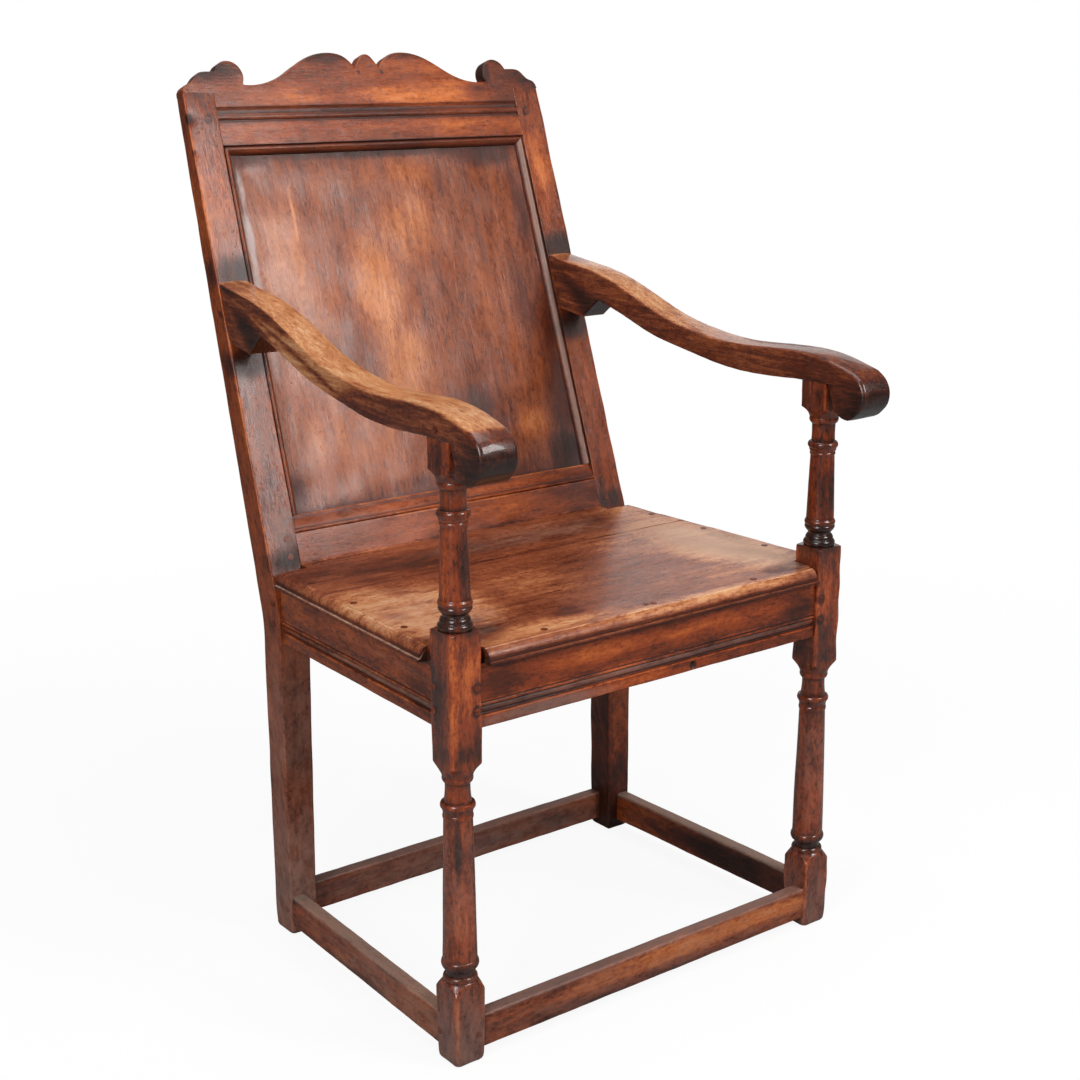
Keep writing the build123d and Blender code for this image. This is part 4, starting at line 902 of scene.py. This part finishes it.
# back panel
panel = {
    "low": 511, "high": 926.5, "face": 8.5, "thick": 7, "lap": 4.6, "half": 215, "columns": 140, "step": 5,
    "cup": 1.3,
    # painted sheen: pale spots down the panel's left edge, carried by the dust mark
    "paintedSheen": [
        (-203, 257, 885, 5, 30, 34, 1.0), (-204, 240, 825, 6, 40, 48, 1.35),
        (-206, 218, 765, 8, 40, 40, 1.25), (-204, 190, 690, 6, 40, 40, 0.85),
        (-178, 262, 903, 30, 30, 10, 0.55), (-175, 215, 755, 60, 80, 170, 0.5)],
}
panelMarks = {
    "stain": [(78, 266, 885, 12, 40, 40, 0.5), (180, 210, 730, 36, 60, 100, 0.5),
        (160, 272, 908, 60, 40, 18, 0.6), (198, 250, 850, 18, 40, 110, 0.5),
        (-190, 270, 912, 40, 40, 12, 0.45), (20, 148, 526, 170, 40, 14, 0.5),
        (-208, 150, 535, 18, 40, 34, 0.6), (196, 145, 535, 36, 40, 34, 0.9),
        (60, 165, 590, 70, 50, 50, 0.65), (200, 165, 600, 30, 60, 70, 0.6),
        (-205, 262, 905, 14, 40, 26, 0.4), (200, 200, 680, 16, 60, 120, 0.5),
        (0, 270, 916, 210, 40, 7, 0.5)],
    "pale": [(-140, 245, 850, 3, 40, 48, 0.9), (-160, 215, 760, 66, 80, 180, 0.65),
        (-42, 225, 760, 40, 60, 90, 1.0), (-24, 200, 665, 46, 50, 70, 0.85),
        (10, 240, 830, 70, 50, 60, 0.65), (110, 220, 740, 24, 50, 90, 0.4),
        (-110, 240, 850, 16, 60, 130, 0.4), (-120, 165, 600, 90, 60, 90, 0.5),
        (150, 157, 575, 30, 40, 24, 0.75), (0, 190, 630, 30, 50, 60, 0.4), (0, 262, 890, 120, 50, 30, 0.45)],
}
height = spread(panel["low"], panel["high"], panel["step"])
height = np.concatenate([height, height[::-1]])[None]
ahead = np.arange(height.shape[1]) < height.shape[1] // 2
depth = np.where(ahead, panel["face"], panel["face"] + panel["thick"])[None]
v = np.linspace(-1, 1, panel["columns"])[:, None]
x = v * (gapHalf(height) - chair["mouldWidth"] + panel["lap"])
edge = np.minimum((1 - np.abs(v)) * panel["half"],
                  np.minimum(height - chair["panelLow"], panelHigh - height))
# the board has cupped: it stands forward beside the left-hand stile, by an uneven millimetre
cup = panel["cup"] * np.exp(-np.maximum((1 + v) * panel["half"] - 4, 0) / 16) * (
    1 + 0.35 * np.sin(height / 23) + 0.2 * np.sin(height / 9.7))
points = onBack(x, height, depth - cup * ahead)
buildPiece("backPanel", "back_panel", "panel", [{
    "points": points, "crease": 0.75 * np.exp(-np.maximum(edge, 0) / 5),
    "dust": blobs(points, panel["paintedSheen"]) * ahead}], swell=(0.35, 0.05), seed=75, **panelMarks)
print("back")


# arms
arms = {
    "top": [(500, 782), (454, 775), (400, 767), (335, 748.5), (265, 723), (205, 710.3), (130, 705.5),
            (60, 708.6), (7, 706), (-42, 694)],
    "knob": [(-42, 694), (-52, 687), (-58.6, 677), (-60, 667), (-57, 656.5), (-50, 648.5), (-44, 643.5),
             (-37, 640)],
    "knobUnder": [(-37, 640), (-28, 641.5), (-19.5, 647.5), (-13.5, 657), (-10, 667), (-7, 677)],
    "flatEnd": (46, 677),
    "under": [(46, 677), (130, 674.5), (216, 685.5), (290, 700.5), (350, 720), (388, 731)],
    "heel": [(419, 706), (478, 714)],
    "rearHalf": (223, 259.5), "frontHalf": (236.4, 282.5), "rearPlace": 470, "reach": 60,
    "roundTop": 5.5, "roundRear": 2.4, "roundUnder": 1.6,
}
# the stain spot under the heel, about 396 behind the posts' faces, is a painted shadow
armMarks = {
    "stain": both([
        (262, frontY - 46, 655, 60, 30, 34, 1.0), (262, frontY + 20, 668, 60, 50, 18, 0.8),
        (241, frontY + 396, 721, 44, 34, 16, 1.3), (245, frontY + 462, 778, 34, 30, 12, 0.7),
        (262, frontY + 150, 684, 60, 120, 10, 0.5), (245, frontY + 478, 745, 40, 12, 60, 0.7)]),
    "pale": [(-268, frontY + 285, 712, 9, 120, 30, 1.2), (268, frontY + 285, 712, 9, 120, 30, 0.3)],
}


def armOutline():
    # side outline as (distance behind the posts' faces, height), once round
    straight = [np.array(arms["knobUnder"][-1], float)[None] + np.linspace(0, 1, 9)[1:, None]
                * (np.array(arms["flatEnd"]) - np.array(arms["knobUnder"][-1]))]
    heel = np.array([arms["under"][-1], *arms["heel"], arms["top"][0]], float)
    cuts = [a + (b - a) * np.linspace(0, 1, 8)[1:, None] for a, b in zip(heel, heel[1:])]
    cuts[-1] = cuts[-1][:-1]
    return np.concatenate([throughPoints(arms["top"], 110), throughPoints(arms["knob"], 24)[1:],
                           throughPoints(arms["knobUnder"], 20)[1:], *straight,
                           throughPoints(arms["under"], 60)[1:], *cuts])


def armShell(side):
    # rings of the side outline from the inner face to the outer, drawn in towards both faces
    outline = armOutline()
    normal = squareTo(np.roll(outline, -1, 0) - np.roll(outline, 1, 0))
    area = (outline[:, 0] * np.roll(outline[:, 1], -1) - np.roll(outline[:, 0], -1) * outline[:, 1]).sum()
    if area > 0:
        normal = -normal
    upper = np.clip(normal[:, 1] * 1.6, 0, 1)
    nose = np.exp(-((outline[:, 0] + 60) / 22) ** 2) * np.clip((outline[:, 1] - 648) / 14, 0, 1)
    ahead = np.clip((260 - outline[:, 0]) / 260, 0, 1)
    radius = arms["roundUnder"] + (arms["roundRear"] + ahead * (arms["roundTop"] - arms["roundRear"])
                                   - arms["roundUnder"]) * np.maximum(upper, nose * 0.8)
    room = np.where(outline[:, 0] < 0, np.clip((outline[:, 1] - 642) / 24, 0.1, 1), 1)
    radius = np.convolve(np.concatenate([radius[-6:], radius, radius[:6]]), np.ones(13) / 13, "valid")
    turns = np.linspace(0, math.pi / 2, 7)
    inset = [radius * (1 - math.sin(a)) for a in turns]
    across = [radius * (1 - math.cos(a)) for a in turns]
    rings, arris, pale = [], [], []
    topTone = upper * np.clip((outline[:, 0] + 48) / 16, 0, 1) * (
        1 if side < 0 else 0.55 - 0.5 * ahead)
    span = arms["rearPlace"] + arms["reach"]
    faces = [arms["rearHalf"][i] + (arms["rearPlace"] - outline[:, 0])
             * (arms["frontHalf"][i] - arms["rearHalf"][i]) / span for i in (0, 1)]

    def ring(shrink, x, worn, gold=0.0):
        spot = outline - normal * shrink[:, None]
        rings.append(np.stack([side * x, frontY + spot[:, 0], spot[:, 1]], -1))
        arris.append(np.broadcast_to(worn, x.shape))
        pale.append(topTone * gold)

    soft = np.clip(3.0 / radius, 0.3, 1) * 0.3
    faceRings = [(4, 0.0), (1.6, 0.1)]
    golden = 1.5 * np.linspace(0, 1, len(inset)) ** 0.8
    for e, worn in faceRings:
        ring(radius + e * room, faces[0], worn)
    for i, a, gold in zip(inset, across, golden):
        ring(i, faces[0] + a, soft, gold)
    for part in np.linspace(0, 1, 9)[1:-1]:
        low, high = faces[0] + across[-1], faces[1] - across[-1]
        crown = 0.9 * upper * 4 * part * (1 - part)
        ring(-crown, low + part * (high - low), 0.0, 1.7)
    for i, a, gold in zip(inset[::-1], across[::-1], golden[::-1]):
        ring(i, faces[1] - a, soft, gold)
    for e, worn in faceRings[::-1]:
        ring(radius + e * room, faces[1], worn)
    return {"points": np.stack(rings), "arris": np.stack(arris), "pale": np.stack(pale)}


for side, word in sides:
    buildPiece(f"arm_{word}Side", f"arm_{word}", "arm", [armShell(side)], swell=(0.3, 0.1),
               seed=81 + side, **armMarks)
print("arms")


# seat boards
seat = {
    "nose": 7, "noseHalf": 234, "noseBack": 11, "notchHalf": 238.5, "notchBack": 39.5,
    "stepHalf": 275, "sideStart": 46, "sideFront": 286, "sideRear": 271, "heel": 371,
    "split": 262, "gap": 0.35, "rear": 396, "fillet": 3.0, "step": 2.4, "round": 7.4,
    "drop": 0.8, "topEdge": 10.3, "postFront": 364.8, "far": 50.0,
    "edgeSteps": (0, 0.4, 1.2, 2.0, 2.39, 2.45, 2.65, 3.1, 3.8, 4.8, 6.2, 7.8, 9.2, 9.8, 10.3, 11.5, 13),
}


def seatHalf(d):
    # half width over the moulded side edges
    part = (d - seat["sideStart"]) / (seat["heel"] - seat["sideStart"])
    return seat["sideFront"] + part * (seat["sideRear"] - seat["sideFront"])


def seatDrop(gap):
    # how far the edge moulding lies under the top: a narrow step, a quarter round, and a sharp
    # drop from the top's own edge
    deep = seatTop - chair["boardUnder"] - seat["fillet"]
    over = np.clip((seat["round"] + seat["step"] - gap) / seat["round"], 0, 1)
    rounded = seat["drop"] + (deep - seat["drop"]) * (1 - np.sqrt(1 - over ** 2))
    shaped = np.where(gap < seat["step"], deep, rounded)
    return shaped * np.clip((seat["topEdge"] - gap) / 0.5, 0, 1)


def boardShell(rows, limits, moulded, noseEdge):
    # rows run back over the board; each row goes across the top and returns underneath, and
    # stops at that row's own half width; the height follows the distance from a moulded edge
    steps = np.array(seat["edgeSteps"])
    inner = np.arange(0, 262, 5.0)
    rings, arris, crease, dust = [], [], [], []
    for d, limit, shaped in zip(rows, limits, moulded):
        full = limit if shaped else seatHalf(max(d, seat["sideStart"]))
        cols = np.concatenate([inner, np.array([264.0, 268]), full - steps[::-1]])
        cols = np.clip(np.maximum.accumulate(np.minimum(cols, full)), 0, limit)
        half = np.concatenate([-cols[::-1], cols[1:]])
        gapSide = full - np.abs(half) if shaped else np.full_like(half, seat["far"])
        gapNose = d + seat["nose"] if noseEdge else seat["far"]
        gap = np.minimum(gapSide, gapNose if d < seat["noseBack"] + 5 else seat["far"])
        seam = np.exp(-abs(d - seat["split"]) / 1.2)
        z = seatTop - seatDrop(gap)
        y = np.full_like(half, frontY + d)
        over = np.stack([half, y, z], -1)
        under = np.stack([half[::-1], y, np.full_like(half, chair["boardUnder"])], -1)
        rings.append(np.concatenate([over, under]))
        worn = np.maximum(0.5 * np.exp(-((gap - 6.5) / 2.2) ** 2), 0.9 * np.exp(-((gap - 10.2) / 1.2) ** 2))
        darkened = np.maximum(np.exp(-((gap - 2.5) / 0.5) ** 2), seam)
        arris.append(np.concatenate([worn, worn[::-1] * 0]))
        # the underside gets 0.9 and the fillet's face fades into it: painted shade under the ledge
        crease.append(np.concatenate([darkened, darkened[::-1] * 0 + 0.9]))
        # the ledge's narrow top takes the pale mix: a painted highlight
        ledge = (gap < 2.4) * (gap > 0.2) * (0.9 if shaped else 0.0)
        dust.append(np.concatenate([ledge, gap[::-1] * 0]))
    return {"points": np.array(rings), "arris": np.array(arris), "crease": np.array(crease),
            "dust": np.array(dust), "loose": 0.8}


noseRows = [(-seat["nose"] + s, seat["noseHalf"], False) for s in seat["edgeSteps"][:-1]]
noseRows += [(6, seat["noseHalf"], False), (seat["noseBack"], seat["noseHalf"], False)]
noseRows += [(d, seat["notchHalf"], False) for d in (11, 12, 16, 22, 28, 34, seat["notchBack"])]
noseRows += [(d, seat["stepHalf"], False) for d in (seat["notchBack"], 42, seat["sideStart"])]
frontRows = noseRows + [(d, seatHalf(d), True) for d in spread(
    seat["sideStart"], seat["split"] - seat["gap"] / 2, 5, (1.5,))]
rearRows = [(d, seatHalf(d), True) for d in spread(
    seat["split"] + seat["gap"] / 2, seat["postFront"], 5, (1.5,))]
rearRows += [(d, gapHalf(seatTop), False) for d in (seat["postFront"], 372, 384, seat["rear"])]
# the wide pale dust spot on the seat's right is painted sheen; the dust at the notch ends is dust
seatMarks = {
    "stain": both([(236, -262, 450, 4, 16, 14, 0.9), (280, -221, 450, 20, 5, 14, 0.9)]) + [
        (-215, -215, 460, 40, 24, 9, 0.9), (-250, -120, 460, 24, 30, 9, 0.5),
        (-150, -262, 460, 110, 10, 9, 0.6), (-94, -218, 460, 30, 22, 9, 0.6),
        (252, -99, 460, 14, 50, 9, 1.2), (215, -240, 460, 36, 16, 9, 1.3), (240, -160, 460, 20, 30, 9, 0.5),
        (140, 45, 460, 120, 50, 9, 0.5), (-60, 40, 460, 140, 26, 9, 0.35), (-9, -248, 460, 4, 4, 9, 1.6),
        (0, 130, 460, 240, 12, 9, 0.6), (-120, 48, 460, 200, 48, 12, 0.6),
        (-215, -238, 460, 30, 12, 9, 0.7), (-190, -180, 460, 16, 8, 9, 0.7)],
    "pale": [(-240, -110, 460, 50, 120, 14, 1.1), (-180, -120, 460, 60, 90, 14, 0.9),
        (-170, -245, 460, 110, 26, 14, 1.1), (60, -262, 460, 240, 12, 16, 0.88),
        (215, -90, 460, 64, 150, 14, 1.5), (150, -20, 460, 90, 110, 14, 0.6),
        (-60, -110, 460, 80, 70, 14, 0.5), (120, -200, 460, 90, 50, 14, 0.5),
        (278, -60, 456, 14, 240, 12, 0.6), (-278, -60, 456, 14, 240, 12, 0.55),
        (240, 60, 460, 40, 70, 14, 0.9)],
    "dust": both([(236, -262, 450, 4, 16, 16, 0.4), (280, -222, 450, 20, 4, 16, 0.4)]) + [
        (225, -120, 460, 56, 130, 12, 1.25), (-215, -130, 460, 90, 130, 12, 0.6),
        (60, 60, 460, 240, 60, 12, 0.42)],
}
for word, rows in (("front", frontRows), ("rear", rearRows)):
    d, limits, moulded = zip(*rows)
    buildPiece(f"seatBoard_{word}", f"seat_board_{word}", "seat",
               [boardShell(d, limits, moulded, word == "front")], swell=(0.3, 0.04),
               seed=91 if word == "front" else 93, **seatMarks)
print("seat boards")

# pegs keep their turned shape and take an end-grain finish
for name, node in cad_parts.items():
    if name.startswith("pegs_"):
        node.data.materials.clear()
        node.data.materials.append(finishes["footPeg" if "stretchers" in name else "peg"][0])


# floor, light and camera
studio = {
    "floorSize": 60.0, "floorTone": (0.9, 0.9, 0.9), "floorBounce": (0.3, 0.3, 0.3),
    "floorLift": (0.91, 1.0), "liftReach": (0.5, 2.0), "worldLight": 0.15,
    "camera": (-1.224288, -1.641957, 1.036091), "yaw": 0.655023, "pitch": 0.266508,
    "roll": -0.001547, "lens": 59.4516,
    "lamps": [            # name, place, size, watts, colour
        ("keyRight", (1.12, -2.55, 2.1), (0.9, 1.3), 54, (1.0, 0.99, 0.98)),
        ("fillLeft", (-2.75, -1.5, 1.9), (1.2, 1.6), 66, (0.99, 0.99, 1.0)),
        ("backRight", (2.9, 2.4, 1.75), (1.6, 1.3), 5.5, (1.0, 1.0, 1.0)),
        ("overhead", (0.0, -0.2, 3.2), (2.2, 2.2), 52, (1.0, 1.0, 1.0)),
    ],
}


bpy.ops.mesh.primitive_plane_add(size=studio["floorSize"])
floor = bpy.context.active_object
floor.name = "floor"
paint = bpy.data.materials.new("paleFloor")
world = bpy.data.worlds.new("studio")
for owner in (paint, world):
    owner.use_nodes = True
    owner.node_tree.nodes.clear()
n = Nodes(paint.node_tree)
# the lens sees a white floor with the chair's shadow, lifted to plain white further out
matt, bounce = (n.add("BsdfDiffuse", Color=(*studio[key], 1.0)).outputs[0]
                for key in ("floorTone", "floorBounce"))
away = n.vector("LENGTH", n.add("TexCoord").outputs["Object"])
lift = n.ramp(away, *studio["liftReach"], *studio["floorLift"])
seen = n.blend(lift, matt, n.add("Emission", Strength=1.0).outputs[0])
lensRay = n.add("LightPath").outputs["Is Camera Ray"]
n.add("OutputMaterial", Surface=n.blend(lensRay, bounce, seen))
floor.data.materials.append(paint)

bpy.context.scene.world = world
n = Nodes(world.node_tree)
soft, bright = (n.add("Background", Color=(1.0, 1.0, 1.0, 1.0), Strength=strength).outputs[0]
                for strength in (studio["worldLight"], 1.0))
lensRay = n.add("LightPath").outputs["Is Camera Ray"]
n.add("OutputWorld", Surface=n.blend(lensRay, soft, bright))

for name, place, size, watts, colour in studio["lamps"]:
    lamp = bpy.data.lights.new(name, "AREA")
    lamp.shape = "RECTANGLE"
    lamp.size, lamp.size_y = size
    lamp.energy = watts
    lamp.color = colour
    holder = bpy.data.objects.new(name, lamp)
    bpy.context.scene.collection.objects.link(holder)
    aim = Vector((0, 0, 0.55)) - Vector(place)
    holder.matrix_world = Matrix.Translation(place) @ aim.to_track_quat("-Z", "Y").to_matrix().to_4x4()

lens = bpy.data.cameras.new("camera")
lens.lens = studio["lens"]
lens.sensor_width = 36.0
lens.clip_end = 50.0
camera = bpy.data.objects.new("camera", lens)
bpy.context.scene.collection.objects.link(camera)
yaw, pitch, roll = studio["yaw"], studio["pitch"], studio["roll"]
ahead = Vector((math.sin(yaw) * math.cos(pitch), math.cos(yaw) * math.cos(pitch), -math.sin(pitch)))
right = Vector((math.cos(yaw), -math.sin(yaw), 0))
up = right.cross(ahead)
rolledRight = math.cos(roll) * right + math.sin(roll) * up
rolledUp = math.cos(roll) * up - math.sin(roll) * right
camera.matrix_world = Matrix.Translation(studio["camera"]) @ Matrix(
    (rolledRight, rolledUp, -ahead)).transposed().to_4x4()
bpy.context.scene.camera = camera
bpy.context.scene.view_settings.view_transform = "Standard"
print("studio ready")
